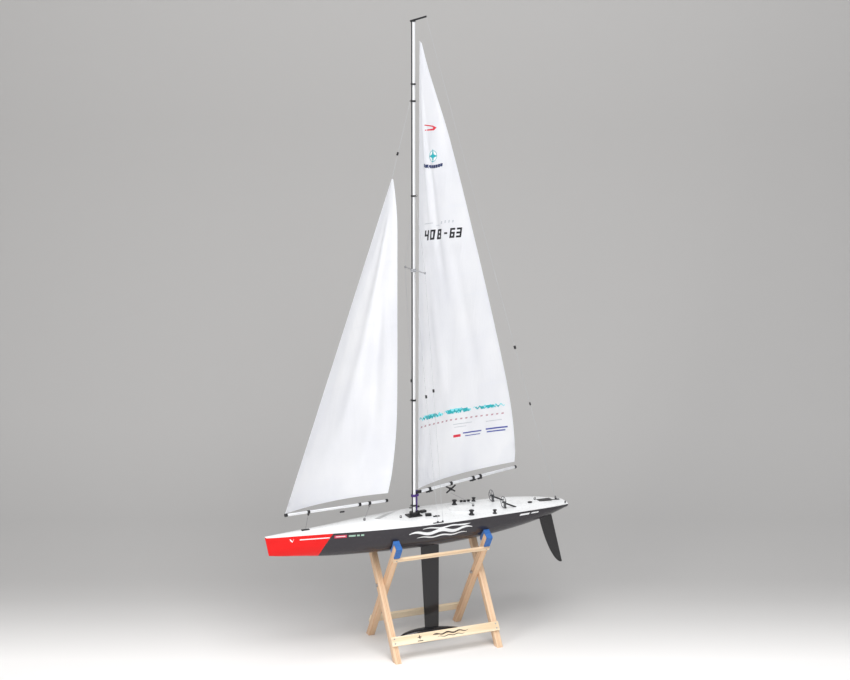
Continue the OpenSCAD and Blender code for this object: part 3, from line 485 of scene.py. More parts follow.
# Colour, roughness and tone spread of each printed mark
DECALS = {
    "white": ((0.85, 0.86, 0.87), 0.35, 0.02),
    "pink": ((0.62, 0.05, 0.10), 0.35, 0.04),
    "green": ((0.34, 0.52, 0.42), 0.35, 0.04),
    "red": ((0.66, 0.03, 0.06), 0.4, 0.04),
    "teal": ((0.02, 0.40, 0.45), 0.4, 0.05),
    "aqua": ((0.22, 0.70, 0.76), 0.45, 0.25),
    "rose": ((0.50, 0.30, 0.34), 0.45, 0.1),
    "blue": ((0.07, 0.09, 0.35), 0.4, 0.05),
    "ink": ((0.03, 0.045, 0.12), 0.4, 0.1),
    "black": ((0.018, 0.018, 0.022), 0.4, 0.1),
    "faint": ((0.62, 0.64, 0.68), 0.45, 0.05),
}
M = {
    "charcoal": gelcoat("hull_charcoal", (0.028, 0.025, 0.031), 0.20, 0.25),
    "red": gelcoat("hull_red", (0.80, 0.001, 0.001), 0.28, 0.08),
    "hull_inside": plastic("hull_inside", (0.16, 0.16, 0.165), 0.55),
    "deck": gelcoat("deck_white", (0.83, 0.84, 0.845), 0.26, 0.5, 0.03),
    # Grey for the wall of the V step: painted shade on that face.
    "painted_step_shade": plastic("deck_painted_step_shade", (0.52, 0.52, 0.52), 0.62, 0.05, 420, 0.5),
    **{f"decal_{name}": plastic(f"decal_{name}", *look) for name, look in DECALS.items()},
    "black": plastic("fitting_black", (0.018, 0.018, 0.02), 0.34, 0.15, 700, 0.1),
    "black_gloss": gelcoat("foil_black", (0.010, 0.009, 0.011), 0.16, 0.35, 0.02),
    "bulb": plastic("bulb_paint", (0.016, 0.016, 0.018), 0.24, 0.2, 260, 0.12, 0.5),
    "inner": plastic("trunk_plastic", (0.68, 0.66, 0.6), 0.5),
    "servo": plastic("servo_case", (0.03, 0.03, 0.035), 0.45, 0.1, 600, 0.15),
    "cells": plastic("cell_wrap", (0.06, 0.30, 0.16), 0.28, 0.08),
    "horn": plastic("horn_white", (0.8, 0.8, 0.78), 0.38, 0.04),
    "smoke": plastic("wheel_smoke", (0.10, 0.105, 0.115), 0.16, 0.06, 500, 0.03, 0.5),
    "mast": mast_tube("mast_alloy"),
    "alloy": metal("spreader_alloy", (0.66, 0.67, 0.70), 0.26),
    "boom": metal("boom_alloy", (0.86, 0.87, 0.89), 0.34, (1.5, 60, 60), 0.04, 0.75),
    "steel": metal("bolt_steel", (0.50, 0.50, 0.52), 0.32),
    "brass": metal("brass_tube", (0.76, 0.55, 0.24), 0.28),
    "violet": metal("rod_violet", (0.09, 0.045, 0.22), 0.28, (60, 60, 2), 0.03, 0.8),
    "line": braid("line_grey", (0.50, 0.51, 0.53)),
    "line_dark": braid("line_dark", (0.20, 0.20, 0.22)),
    "cloth": sailcloth("sail_film", (0.95, 0.955, 0.97), (0.87, 0.88, 0.915)),
    "cloth_patch": sailcloth("sail_patch", (0.93, 0.94, 0.96), (0.88, 0.89, 0.93)),
    "foam": foam("pad_foam", (0.008, 0.11, 0.38)),
    "ply": wood("tray_ply", (0, math.radians(90), 0), (0.7, 0.52, 0.32), (0.55, 0.38, 0.2),
                (0.4, 0.1, 0)),
    "pine_x": wood("pine_rail", (0, math.radians(90), 0), (0.93, 0.80, 0.60),
                   (0.82, 0.64, 0.42), (0.3, 0.7, 0)),
    "pine_x2": wood("pine_top_rail", (0, math.radians(90), 0), (0.90, 0.70, 0.49),
                    (0.74, 0.50, 0.30), (1.3, 0.2, 0)),
    "pine_out": wood("pine_outer", (-LEAN, 0, 0), PINE_LIGHT, PINE_DARK, (0.2, 1.1, 0)),
    "pine_in": wood("pine_inner", (LEAN, 0, 0), (0.80, 0.56, 0.37), PINE_DARK, (1.4, 0.5, 0)),
    "burn": plastic("burnt_mark", (0.06, 0.045, 0.035), 0.6, 0.2),
}


def paint(name, key):
    obj = nodes[name]
    obj.data.materials.clear()
    obj.data.materials.append(M[key])


CAD_LOOKS = {
    "cross_bolt_fore": "steel", "cross_bolt_aft": "steel", "outer_rail_screws": "steel",
    "inner_rail_screws": "steel", "keel_nut": "steel", "keel_trunk": "inner",
    "rudder_tube": "brass", "servo_tray": "ply", "rudder_servo": "servo",
    "winch_servo": "servo", "receiver": "servo", "battery_box": "servo",
    "battery_cells": "cells", "mast_step": "black", "mast": "mast",
    "spreaders": "alloy", "gooseneck": "violet", "mast_fittings": "black",
    "standing_rigging": "line", "rigging_bowsies": "black", "chainplates": "black",
    "deck_fittings": "black", "stern_fittings": "black", "helm_pedestals": "black",
    "hatch_frame": "deck", "hatch_lid": "deck", "tiller_arm": "servo", "servo_horn": "horn",
    "rudder_pushrod": "steel", "winch_drum": "horn", "helm_wheel_port": "smoke",
    "helm_wheel_starboard": "smoke", "switch_slider": "black", "main_boom": "boom",
    "main_boom_fittings": "black", "jib_boom": "boom", "jib_boom_fittings": "black",
    "jib_halyard": "line", "masthead_crane": "black",
}
for cad_name, look in CAD_LOOKS.items():
    paint(cad_name, look)


# ------------------------------------------------------------------ hull


def stem_shift(x):
    return 11 * max(0, 1 - (x - BOW) / 110) ** 2


def hull_point(x, t, side, inset=0.0):
    """A point of the hull at station x and drop t, from 0 at the sheer to 1 at the keel."""
    b = beam(x) - inset
    if x < BOW + 3.5:
        b *= math.sqrt(max(0.0, 1 - ((BOW + 3.5 - x) / 3.5) ** 2)) * 0.98 + 0.02
    depth = sheer(x) - keel(x) - inset
    n = fullness(x)
    y = b * max(0.0, 1 - t**n) ** (1 / n)
    return Vector((x + stem_shift(x) * t, side * y, sheer(x) - t * depth))


RED_END = -299.0
SLANT = -38.0


def red_shift(x, t):
    """Slides stations so that one of them lies on the slanting edge of the red bow."""
    reach = 120.0 if x < RED_END else 160.0
    return SLANT * (1 - (1 - t) ** 1.6) * smooth(1 - abs(x - RED_END) / reach)


def hull_stations():
    fore = [BOW + 3.5 * (1 - math.cos(math.pi / 2 * i / 6)) for i in range(6)]
    bow = [lerp(BOW + 3.5, RED_END, (i / 44) ** 1.15) for i in range(45)]
    rest = [lerp(RED_END, STERN, i / 110) for i in range(1, 111)]
    return fore + bow + rest, len(fore) + 44


def hull_ring(x, inset=0.0, half=26):
    ring = []
    for k in range(2 * half + 1):
        a = math.pi * k / (2 * half)
        side = -1 if k <= half else 1
        t = math.sin(a) ** (2 / fullness(x)) if 0 < k < 2 * half else 0.0
        ring.append(hull_point(x + red_shift(x, t) if inset == 0 else x, t, side, inset))
    return ring


def hull_skin():
    xs, red_rings = hull_stations()
    rings = [hull_ring(x) for x in xs]
    cols = len(rings[0])
    verts = [p for r in rings for p in r]
    faces = grid_faces(len(rings), cols, flip=True)
    index = [0 if j < red_rings else 1 for j in range(len(rings) - 1) for _ in range(cols - 1)]
    inner_xs = [lerp(BOW + 24, STERN - 2, i / 60) for i in range(61)]
    inner = [hull_ring(x, 2.0) for x in inner_xs]
    base = len(verts)
    verts += [p for r in inner for p in r]
    faces += grid_faces(len(inner), cols, base=base)
    index += [2] * ((len(inner) - 1) * cols - (len(inner) - 1))
    last = base - cols
    faces.append([last + i for i in range(cols)])
    index.append(1)
    faces.append([base + (len(inner) - 1) * cols + i for i in range(cols)][::-1])
    index.append(2)
    obj = build("hull_moulding", verts, faces, [M["red"], M["charcoal"], M["hull_inside"]],
                index)
    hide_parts("hull_shell")
    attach(obj, "hull")
    return obj


def hull_at_height(x, z, side, out=0.0):
    """The hull's surface at station x and height z, pushed out by a little."""
    t = ramp((sheer(x) - z) / (sheer(x) - keel(x)))
    p = hull_point(x, t, side)
    d = 0.5
    a = hull_point(x + d, t, side) - hull_point(x - d, t, side)
    b = hull_point(x, min(t + 0.01, 0.999), side) - hull_point(x, max(t - 0.01, 0.0), side)
    n = a.cross(b)
    if n.y * side < 0:
        n = -n
    return p + n.normalized() * out


def cut_into_cells(bm, step):
    """Cuts flat shapes along a square grid so that they can follow a curved surface."""
    xs = [v.co.x for v in bm.verts]
    ys = [v.co.y for v in bm.verts]
    for axis, values in ((0, xs), (1, ys)):
        k = math.floor(min(values) / step) + 1
        while k * step < max(values):
            co = [0.0, 0.0, 0.0]
            no = [0.0, 0.0, 0.0]
            co[axis], no[axis] = k * step, 1.0
            bmesh.ops.bisect_plane(bm, geom=bm.verts[:] + bm.edges[:] + bm.faces[:],
                                   plane_co=co, plane_no=no)
            k += 1


def decal(name, shapes, place, mat, body, step=8.0):
    """Flat outlines laid on a surface by place(a, b)."""
    bm = bmesh.new()
    for outline in shapes:
        bm.faces.new([bm.verts.new((p[0], p[1], 0)) for p in outline])
    bmesh.ops.triangulate(bm, faces=bm.faces)
    cut_into_cells(bm, step)
    bmesh.ops.triangulate(bm, faces=bm.faces)
    for v in bm.verts:
        v.co = place(v.co.x, v.co.y)
    obj = from_bm(name, bm, [M[mat]], 80)
    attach(obj, body)
    return obj


def strip(x0, x1, low, high, n=24):
    """Outline between two curves low(x) and high(x)."""
    xs = [lerp(x0, x1, i / n) for i in range(n + 1)]
    return [(x, low(x)) for x in xs] + [(x, high(x)) for x in reversed(xs)]


def bar(x, y, w, h, slant=0.0):
    return [(x, y), (x + w, y), (x + w + slant, y + h), (x + slant, y + h)]


def wave(x0, x1, y, height, swing, waves, taper=True):
    def mid(x):
        return y + swing * math.sin(2 * math.pi * waves * (x - x0) / (x1 - x0))

    def half(x):
        t = (x - x0) / (x1 - x0)
        return height / 2 * (math.sin(math.pi * min(max(t, 0.02), 0.98)) ** 0.5 if taper else 1)

    return strip(x0, x1, lambda x: mid(x) - half(x), lambda x: mid(x) + half(x), 40)


def hull_marks():
    for side, tag in ((-1, "port"), (1, "starboard")):
        def on_hull(a, b, s=side):
            return hull_at_height(a, sheer(a) + b, s, 0.18)

        waves = [wave(-72, 134, -23, 11, 4.2, 2.5), wave(-46, 118, -38, 5, 2.2, 2.5),
                 wave(-30, 126, -10.5, 4.4, 2.0, 2)]
        decal(f"hull_waves_{tag}", waves, on_hull, "decal_white", "hull")
        decal(f"bow_strip_{tag}", [bar(-398, -13.5, 88, 3.2)], on_hull, "decal_white", "hull")
        decal(f"bow_tick_{tag}", [[(-428, -7), (-424, -9), (-420, -15), (-414, -6),
                                   (-420, -19), (-426, -13)]],
              on_hull, "decal_white", "hull")
        decal(f"bow_block_{tag}", [bar(-296, -15, 36, 8.5)], on_hull, "decal_pink", "hull")
        decal(f"bow_block_rule_{tag}", [bar(-292, -11.8, 28, 2.2)],
              lambda a, b, s=side: hull_at_height(a, sheer(a) + b, s, 0.3),
              "decal_white", "hull")
        decal(f"bow_dashes_{tag}", [bar(-254, -13.5, 20, 5), bar(-230, -13.5, 8, 5),
                                    bar(-218, -13.5, 9, 5)],
              on_hull, "decal_green", "hull")
        decal(f"quarter_dash_{tag}", [bar(300, -12, 34, 5.5, 4), bar(342, -10.5, 27, 4, 3)],
              on_hull, "decal_white", "hull")


# ------------------------------------------------------------------ deck

V_APEX = -150.0
V_SLOPE = 1.34


def crown(x, y, inside):
    half = beam(x)
    across = 1 - ramp(abs(y) / half) ** 2
    fore = 2 + 10 * ramp((x - BOW) / 330)
    return lerp(fore, 4, inside) * across


def inside_v(x, y):
    return ramp((x - V_APEX - V_SLOPE * abs(y)) / 4)


def deck_top(x, y, inside=None):
    if inside is None:
        inside = inside_v(x, y)
    return sheer(x) + DECK_THICK + crown(x, y, inside)


def v_crossing(s):
    """Where the column at fraction s of the half beam meets the V step."""
    x = V_APEX
    for _ in range(30):
        x = V_APEX + V_SLOPE * abs(s) * beam(x)
    return x


def deck_rows(cols):
    """Rows of deck points, lined up with the V step: foredeck, step and after deck."""
    rows = []
    fore, aft = 70, 100
    plan = [("f", i / fore) for i in range(fore + 1)] + [("a", i / aft) for i in range(aft + 1)]
    for part, t in plan:
        row = []
        for c in range(cols + 1):
            s = -1 + 2 * c / cols
            cross = v_crossing(s)
            if part == "f":
                x = lerp(BOW + 0.02, cross, t**1.1)
                inside = 0.0
            else:
                x = lerp(cross + 4, STERN, t)
                inside = 1.0
            b = beam(x)
            if x < BOW + 3.5:
                b *= math.sqrt(max(0.0, 1 - ((BOW + 3.5 - x) / 3.5) ** 2)) * 0.98 + 0.02
            y = s * b
            row.append(Vector((x, y, deck_top(x, y, inside))))
        rows.append(row)
    return rows, fore


def deck_moulding():
    cols = 44
    rows, fore = deck_rows(cols)
    n = cols + 1
    top = [p for r in rows for p in r]
    under = [p - Vector((0, 0, DECK_THICK)) for p in top]
    count = len(top)
    faces = grid_faces(len(rows), n, flip=True)
    # The faces of the step row take the grey: painted shade on the V step wall.
    index = [1 if j == fore else 0 for j in range(len(rows) - 1) for _ in range(cols)]
    faces += grid_faces(len(rows), n, base=count)
    index += [0] * ((len(rows) - 1) * cols)
    for j in range(len(rows) - 1):
        a, b = j * n, (j + 1) * n
        faces.append((a, b, b + count, a + count))
        faces.append((b + n - 1, a + n - 1, a + n - 1 + count, b + n - 1 + count))
        index += [0, 0]
    last = (len(rows) - 1) * n
    for i in range(cols):
        faces.append((i, i + 1, i + 1 + count, i + count))
        faces.append((last + i + 1, last + i, last + i + count, last + i + 1 + count))
        index += [0, 0]
    obj = build("deck_moulding", top + under, faces, [M["deck"], M["painted_step_shade"]], index, 28)
    cut_round(obj, (137, 0), 34.3, 48)
    cut_round(obj, (422, 0), 8, 32)
    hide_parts("deck")
    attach(obj, "hull")
    return obj


def cut_round(obj, centre, radius, seg):
    bm = bmesh.new()
    tube_bm(bm, (centre[0], centre[1], 380), (centre[0], centre[1], 440), radius, seg=seg)
    cutter = from_bm("cutter", bm, [])
    mod = obj.modifiers.new("cut", "BOOLEAN")
    mod.object = cutter
    mod.solver = "EXACT"
    bpy.context.view_layer.update()
    done = bpy.data.meshes.new_from_object(obj.evaluated_get(
        bpy.context.evaluated_depsgraph_get()))
    obj.modifiers.clear()
    obj.data = done
    bpy.data.objects.remove(cutter)


# ------------------------------------------------------------------ keel and rudder


def foil_ring(chord, thick, n=22):
    upper, lower = [], []
    for i in range(n + 1):
        s = (1 - math.cos(math.pi * i / n)) / 2
        y = thick * (1.48 * math.sqrt(s) - 0.63 * s - 1.76 * s * s + 1.42 * s**3
                     - 0.51 * s**4) + 0.3 * s
        upper.append((chord * s, y))
        lower.append((chord * s, -y))
    return upper + lower[::-1][:-1]


def keel_fin():
    verts = []
    low = 26 + 20 - 4
    rows = 24
    for j in range(rows + 1):
        v = j / rows
        chord = lerp(62, 47, v)
        z = lerp(312, low, v)
        for p in foil_ring(chord, 7 - 2 * v):
            verts.append((64.5 - chord + p[0], p[1], z))
    cols = len(verts) // (rows + 1)
    faces = grid_faces(rows + 1, cols, closed=True)
    faces += [list(range(cols))[::-1], [rows * cols + i for i in range(cols)]]
    bm = bmesh.new()
    tube_bm(bm, (33, 0, 397), (33, 0, 407), 2)
    root = rounded([(5.3, -3.2), (60.7, -3.2), (60.7, 3.2), (5.3, 3.2)], 2.4)
    prism_bm(bm, root, Matrix.Translation((0, 0, 311.5)), 86.5, 0.4)
    extra = bpy.data.meshes.new("keel_root")
    bm.to_mesh(extra)
    bm.free()
    base = len(verts)
    verts += [tuple(v.co) for v in extra.vertices]
    faces += [[base + k for k in f.vertices] for f in extra.polygons]
    bpy.data.meshes.remove(extra)
    obj = build("keel_fin_foil", verts, faces, [M["black_gloss"]])
    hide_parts("keel_fin")
    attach(obj, "hull")


def ballast_bulb():
    bm = bmesh.new()
    steps = 56
    profile = []
    for i in range(steps + 1):
        s = i / steps
        profile.append((20 * math.sin(math.pi * s**0.75) ** 0.72 if 0 < i < steps else 0.0,
                        208 * s))
    place = Matrix.Translation((-66.5, 0, 26)) @ Matrix.Rotation(math.radians(90), 4, "Y")
    lathe_bm(bm, profile, place, 56)
    obj = from_bm("bulb_casting", bm, [M["bulb"]], 50)
    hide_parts("ballast_bulb")
    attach(obj, "hull")


STOCK = Matrix.Translation((423, 0, 392)) @ Matrix.Rotation(-RAKE, 4, "Y")


def rudder_blade():
    rows = 40
    verts = []
    for j in range(rows + 1):
        f = 0.995 * math.sin(math.pi / 2 * j / rows)
        chord = 44 * math.sqrt(1 - f * f)
        thick = max(5.6 * chord / 44, 1)
        for p in foil_ring(chord, thick, 18):
            verts.append(STOCK @ Vector((24.5 - chord + p[0], p[1], -33 - f * 186 * 0.94)))
    cols = len(verts) // (rows + 1)
    faces = grid_faces(rows + 1, cols, closed=True)
    faces += [list(range(cols))[::-1], [rows * cols + i for i in range(cols)]]
    bm = bmesh.new()
    tube_bm(bm, STOCK @ Vector((0, 0, -60)), STOCK @ Vector((0, 0, 6)), 2)
    extra = bpy.data.meshes.new("stock")
    bm.to_mesh(extra)
    bm.free()
    base = len(verts)
    verts += [tuple(v.co) for v in extra.vertices]
    faces += [[base + k for k in f.vertices] for f in extra.polygons]
    bpy.data.meshes.remove(extra)
    obj = build("rudder_foil", verts, faces, [M["black_gloss"]])
    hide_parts("rudder_blade")
    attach(obj, "rudder")


# ------------------------------------------------------------------ sails


def main_point(s, v, out=0.0):
    """Mainsail surface: s from luff to leech, v from foot to head, pushed to one side."""
    z_luff = lerp(*MAIN_LUFF, v)
    z_leech = lerp(*MAIN_EDGE, v)
    fore = 6 + 6 * v
    aft = read(MAIN_LEECH, z_leech)
    chord = aft - fore
    bow = 0.09 * chord * 4 * s * (1 - s) * (1 - 0.4 * s)
    slope = 0.09 * 4 * (1 - 2 * s - 0.8 * s + 1.2 * s * s)
    turn = TWIST * v
    x = fore + s * chord * math.cos(turn) - bow * math.sin(turn)
    y = s * chord * math.sin(turn) + bow * math.cos(turn)
    z = z_luff + s * (z_leech - z_luff)
    side = Vector((-math.sin(turn + math.atan(slope)), math.cos(turn + math.atan(slope)), 0))
    p = Vector((x, y, z)) + side * (out + main_wrinkle(s, v, chord))
    c, d = math.cos(MAIN_ANGLE), math.sin(MAIN_ANGLE)
    return Vector((GOOSE.x + p.x * c - p.y * d, p.x * d + p.y * c, p.z))


def fold(s, v, start, end, width, low, high):
    """A soft crease that runs from (s, v) start to end, fading at both ends."""
    t = (v - start[1]) / (end[1] - start[1])
    mid = lerp(start[0], end[0], t)
    return math.exp(-((s - mid) / width) ** 2) * smooth((v - low) * 6) * smooth((high - v) * 6)


def main_wrinkle(s, v, chord):
    edge = smooth(s * 9) * smooth((1 - s) * 6) * smooth(v * 10) * smooth((1 - v) * 12)
    a, b = s * chord / 90.0, v * 14
    ripple = noise.noise(Vector((a * 1.6 + 3.1, b * 0.42, 0.7)))
    foot = noise.noise(Vector((a * 2.2, b * 0.8 + 9.0, 4.2))) * smooth((0.35 - v) * 4)
    creases = (3.4 * fold(s, v, (0.14, 0.98), (0.34, 0.52), 0.06, 0.5, 0.97)
               - 2.6 * fold(s, v, (0.30, 0.8), (0.46, 0.40), 0.06, 0.36, 0.84)
               + 2.4 * fold(s, v, (0.22, 0.5), (0.40, 0.10), 0.05, 0.06, 0.52)
               - 2.0 * fold(s, v, (0.62, 0.6), (0.72, 0.20), 0.07, 0.15, 0.62))
    return edge * (3.0 * ripple + 2.6 * foot + 1.8 * creases)


def jib_luff_x(z):
    lean = (JIB_HOOK.x - JIB_SWIVEL.x) / (JIB_HOOK.z - JIB_SWIVEL.z)
    head = JIB_HOOK.x + (JIB_HEAD_Z - JIB_HOOK.z) * lean
    return JIB_TACK[0] + (z - JIB_TACK[1]) / (JIB_HEAD_Z - JIB_TACK[1]) * (head - JIB_TACK[0])


JIB_LEAN = math.atan2(JIB_HOOK.x - JIB_SWIVEL.x, JIB_HOOK.z - JIB_SWIVEL.z)
JIB_FRAME = (Matrix.Translation(JIB_SWIVEL) @ Matrix.Rotation(JIB_LEAN, 4, "Y")
             @ Matrix.Rotation(JIB_ANGLE, 4, "Z") @ Matrix.Rotation(-JIB_LEAN, 4, "Y")
             @ Matrix.Translation(-JIB_SWIVEL))


def jib_point(s, v, out=0.0):
    z_luff = JIB_TACK[1] + v * (JIB_HEAD_Z - JIB_TACK[1])
    z_leech = lerp(JIB_CLEW_Z, JIB_HEAD_Z, v)
    fore = jib_luff_x(z_luff)
    chord = read(JIB_LEECH, z_leech) - fore
    bow = 0.08 * chord * 4 * s * (1 - s)
    slope = 0.08 * 4 * (1 - 2 * s)
    turn = TWIST * v
    x = fore + s * chord * math.cos(turn) - bow * math.sin(turn)
    y = s * chord * math.sin(turn) + bow * math.cos(turn)
    z = z_luff + s * (z_leech - z_luff)
    side = Vector((-math.sin(turn + math.atan(slope)), math.cos(turn + math.atan(slope)), 0))
    return JIB_FRAME @ (Vector((x, y, z)) + side * (out + jib_wrinkle(s, v, chord)))


def jib_wrinkle(s, v, chord):
    edge = smooth(s * 9) * smooth((1 - s) * 6) * smooth(v * 10) * smooth((1 - v) * 12)
    a, b = s * chord / 90.0, v * 11
    ripple = noise.noise(Vector((a * 1.5 + 7.7, b * 0.4, 2.9)))
    creases = (3.0 * fold(s, v, (0.55, 0.85), (0.42, 0.25), 0.08, 0.15, 0.92)
               - 2.4 * fold(s, v, (0.70, 0.60), (0.80, 0.12), 0.06, 0.08, 0.66))
    return edge * (3.0 * ripple + 1.8 * creases)


def sail_sheet(name, point, cad, body):
    """A sail's cloth: its two faces, joined round the edge."""
    rows, cols, half = 120, 44, 0.15
    front = [point(i / cols, j / rows, -half) for j in range(rows + 1) for i in range(cols + 1)]
    back = [point(i / cols, j / rows, half) for j in range(rows + 1) for i in range(cols + 1)]
    n, count = cols + 1, len(front)
    faces = grid_faces(rows + 1, n)
    faces += grid_faces(rows + 1, n, base=count, flip=True)
    edge = [(i, i + 1) for i in range(cols)]
    edge += [((j + 1) * n - 1, (j + 2) * n - 1) for j in range(rows)]
    edge += [(rows * n + i + 1, rows * n + i) for i in range(cols)]
    edge += [((j + 1) * n, j * n) for j in range(rows)]
    faces += [(b, a, a + count, b + count) for a, b in edge]
    obj = build(name, front + back, faces, [M["cloth"]], None, 60)
    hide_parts(cad)
    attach(obj, body)
    return obj


def sail_patch(name, point, corners, body, mat="cloth_patch", out=0.32, nu=14, nv=14,
               both=True):
    """A sewn-on patch between four (s, v) corners, on one or both sides of the sail."""
    verts, faces = [], []
    for side in ((-1, 1) if both else (-1,)):
        base = len(verts)
        for j in range(nv + 1):
            for i in range(nu + 1):
                a, b = i / nu, j / nv
                s = lerp(lerp(corners[0][0], corners[1][0], a),
                         lerp(corners[3][0], corners[2][0], a), b)
                v = lerp(lerp(corners[0][1], corners[1][1], a),
                         lerp(corners[3][1], corners[2][1], a), b)
                verts.append(point(s, v, side * out))
        faces += grid_faces(nv + 1, nu + 1, base=base, flip=side > 0)
    obj = build(name, verts, faces, [M[mat]], None, 60)
    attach(obj, body)
    return obj


def main_at(a, z, out):
    """Mainsail surface at distance a aft of the gooseneck and height z."""
    low, rise = MAIN_LUFF[0], MAIN_LUFF[1] - MAIN_LUFF[0]
    foot, spread = MAIN_EDGE[0] - low, MAIN_EDGE[1] - MAIN_EDGE[0] - rise
    s, v = 0.5, ramp((z - low) / rise)
    for _ in range(6):
        z_leech = lerp(*MAIN_EDGE, v)
        fore = 6 + 6 * v
        chord = max(read(MAIN_LEECH, z_leech) - fore, 1)
        s = (a - fore) / chord
        v = (z - low - s * foot) / (rise + s * spread)
    return main_point(ramp(s), ramp(v), out)


DIGITS = {
    "0": "abcdef", "1": "bc", "2": "abged", "3": "abgcd", "4": "fgbc", "5": "afgcd",
    "6": "afgedc", "7": "abc", "8": "abcdefg", "9": "abcdfg",
}


def digit(char, x, y, w, h, t):
    """Slanted block figure made of straight strokes."""
    lean = 0.12

    def stroke(x0, y0, x1, y1):
        return [(x + px + lean * py, y + py) for px, py in
                ((x0, y0), (x1, y0), (x1, y1), (x0, y1))]

    half = h / 2
    parts = {
        "a": stroke(0, h - t, w, h), "g": stroke(0, half - t / 2, w, half + t / 2),
        "d": stroke(0, 0, w, t), "f": stroke(0, half, t, h), "b": stroke(w - t, half, w, h),
        "e": stroke(0, 0, t, half), "c": stroke(w - t, 0, w, half),
    }
    return [parts[k] for k in DIGITS[char]]


def main_marks():
    def port(a, z):
        return main_at(a, z, -0.45)

    def starboard(a, z):
        return main_at(a, z, 0.45)

    number = [("4", 37), ("0", 62), ("8", 88), ("6", 139), ("3", 163)]
    shapes = [bar(120, 1262, 11, 5.5)]
    for char, x in number:
        shapes += digit(char, x, 1249, 18, 30, 5.8)
    decal("sail_number_port", shapes, port, "decal_black", "main_boom", 7)
    shapes = [bar(120, 1212, 11, 5.5)]
    for (_, x), (char, _) in zip(number, number[::-1]):
        shapes += digit(char, x, 1199, 18, 30, 5.8)
    decal("sail_number_starboard", shapes, starboard, "decal_black", "main_boom",
          7)
    ring = [(71 + 16 * math.cos(a), 1499 + 17 * math.sin(a))
            for a in [math.pi * k / 14 for k in range(28)]]
    inner = [(71 + 14.4 * math.cos(a), 1499 + 15.4 * math.sin(a))
             for a in [math.pi * k / 14 for k in range(28)]]
    decal("sail_roundel", [ring], port, "decal_teal", "main_boom", 6)
    decal("sail_roundel_inner", [inner], lambda a, z: main_at(a, z, -0.55), "decal_white",
          "main_boom", 6)
    star = [(71 + r * math.sin(math.pi * k / 4), 1499 + 1.3 * r * math.cos(math.pi * k / 4))
            for k, r in enumerate((17, 5.4) * 4)]
    decal("sail_roundel_star", [star], lambda a, z: main_at(a, z, -0.65), "decal_teal",
          "main_boom", 6)
    banner = [bar(36 + 9 * k, 1463 + 0.35 * (k - 3.5) ** 2, 8, 9.5, 1.2) for k in range(8)]
    decal("sail_banner", banner, port, "decal_ink", "main_boom", 6)
    decal("sail_chevron", [[(38, 1593), (70, 1589), (84, 1583), (74, 1575), (40, 1575),
                            (40, 1578), (70, 1580), (72, 1583), (66, 1586), (38, 1590)]],
          port, "decal_red", "main_boom", 6)
    rule = [bar(37, 1298, 38, 2), bar(84, 1290, 16, 2.4), bar(106, 1294, 5, 8, 1.5),
            bar(120, 1296, 5, 8, 1.5), bar(134, 1296, 5, 8, 1.5), bar(148, 1296, 5, 7, 1.5)]
    decal("sail_small_row", rule, port, "decal_faint", "main_boom", 7)
    streak = [wave(12, 120, 707, 8, 4.5, 5), wave(126, 228, 708, 9, 4.5, 5),
              wave(236, 350, 709, 7, 3.5, 6)]
    decal("sail_streak", streak, port, "decal_aqua", "main_boom", 8)
    decal("sail_streak_accent", [wave(28, 110, 706, 3, 5.5, 7), wave(134, 222, 707, 3, 5.5, 6),
                                 wave(244, 330, 708, 2.4, 4.5, 7)],
          lambda a, z: main_at(a, z, -0.55), "decal_teal", "main_boom", 8)
    dashes = [bar(18 + k * 18.8, 679, 8, 4.5, 1) for k in range(18)]
    decal("sail_dashes", dashes, port, "decal_rose", "main_boom", 8)
    decal("sail_label_red", [bar(162, 624, 27, 8)], port, "decal_red", "main_boom",
          8)
    decal("sail_label_dark", [bar(198, 632, 68, 4), bar(206, 623, 56, 2.6),
                              bar(282, 634, 78, 4.6), bar(286, 625, 66, 4)], port,
          "decal_blue", "main_boom", 8)
    decal("sail_label_grey", [bar(162, 664, 70, 2.6), bar(282, 660, 58, 2.6),
                              bar(166, 655, 44, 2)], port, "decal_faint", "main_boom",
          8)


def sewn_parts(sail, point, body, tapes, battens, batten, seams, seam):
    """A sail's tapes and corner patches, then its battens, then the seams across it."""
    parts = [sail_patch(f"{sail}_{name}", point, corners, body, **options)
             for name, corners, options in tapes]
    wide, nu = batten
    for k, (v, long) in enumerate(battens):
        corners = [(1 - long, v), (1, v - 0.002), (1, v + wide), (1 - long, v + wide)]
        parts.append(sail_patch(f"{sail}_batten_{k}", point, corners, body, nu=nu, nv=2))
    low, high, rise, nu = seam
    for k, v in enumerate(seams, 1):
        corners = [(0.02, v), (0.985, v + low), (0.985, v + high), (0.02, v + rise)]
        parts.append(sail_patch(f"{sail}_seam_{k}", point, corners, body, out=0.24, nu=nu,
                                nv=1))
    return parts


def mainsail():
    cloth = sail_sheet("mainsail_cloth", main_point, "mainsail", "main_boom")
    tapes = [
        ("luff_tape", [(0, 0), (0.03, 0), (0.16, 1), (0, 1)], dict(nu=3, nv=90)),
        ("foot_tape", [(0, 0), (1, 0), (1, 0.007), (0, 0.007)], dict(nu=40, nv=2)),
        ("leech_tape", [(0.984, 0), (1, 0), (1, 1), (0.94, 1)], dict(nu=2, nv=90)),
        ("head_patch", [(0, 0.93), (0.55, 0.93), (1, 1), (0, 1)], {}),
        ("head_patch_small", [(0, 0.955), (0.7, 0.955), (1, 1), (0, 1)], dict(out=0.45)),
        ("tack_patch", [(0, 0), (0.17, 0), (0.12, 0.035), (0, 0.055)], {}),
        ("clew_patch", [(0.82, 0), (1, 0), (1, 0.055), (0.88, 0.035)], {}),
    ]
    battens = [(0.2, 0.28), (0.42, 0.32), (0.63, 0.36), (0.82, 0.42)]
    parts = sewn_parts("main", main_point, "main_boom", tapes, battens, (0.005, 14),
                       [k / 6.4 for k in range(1, 6)], (0.004, 0.0062, 0.0022, 30))
    main_marks()


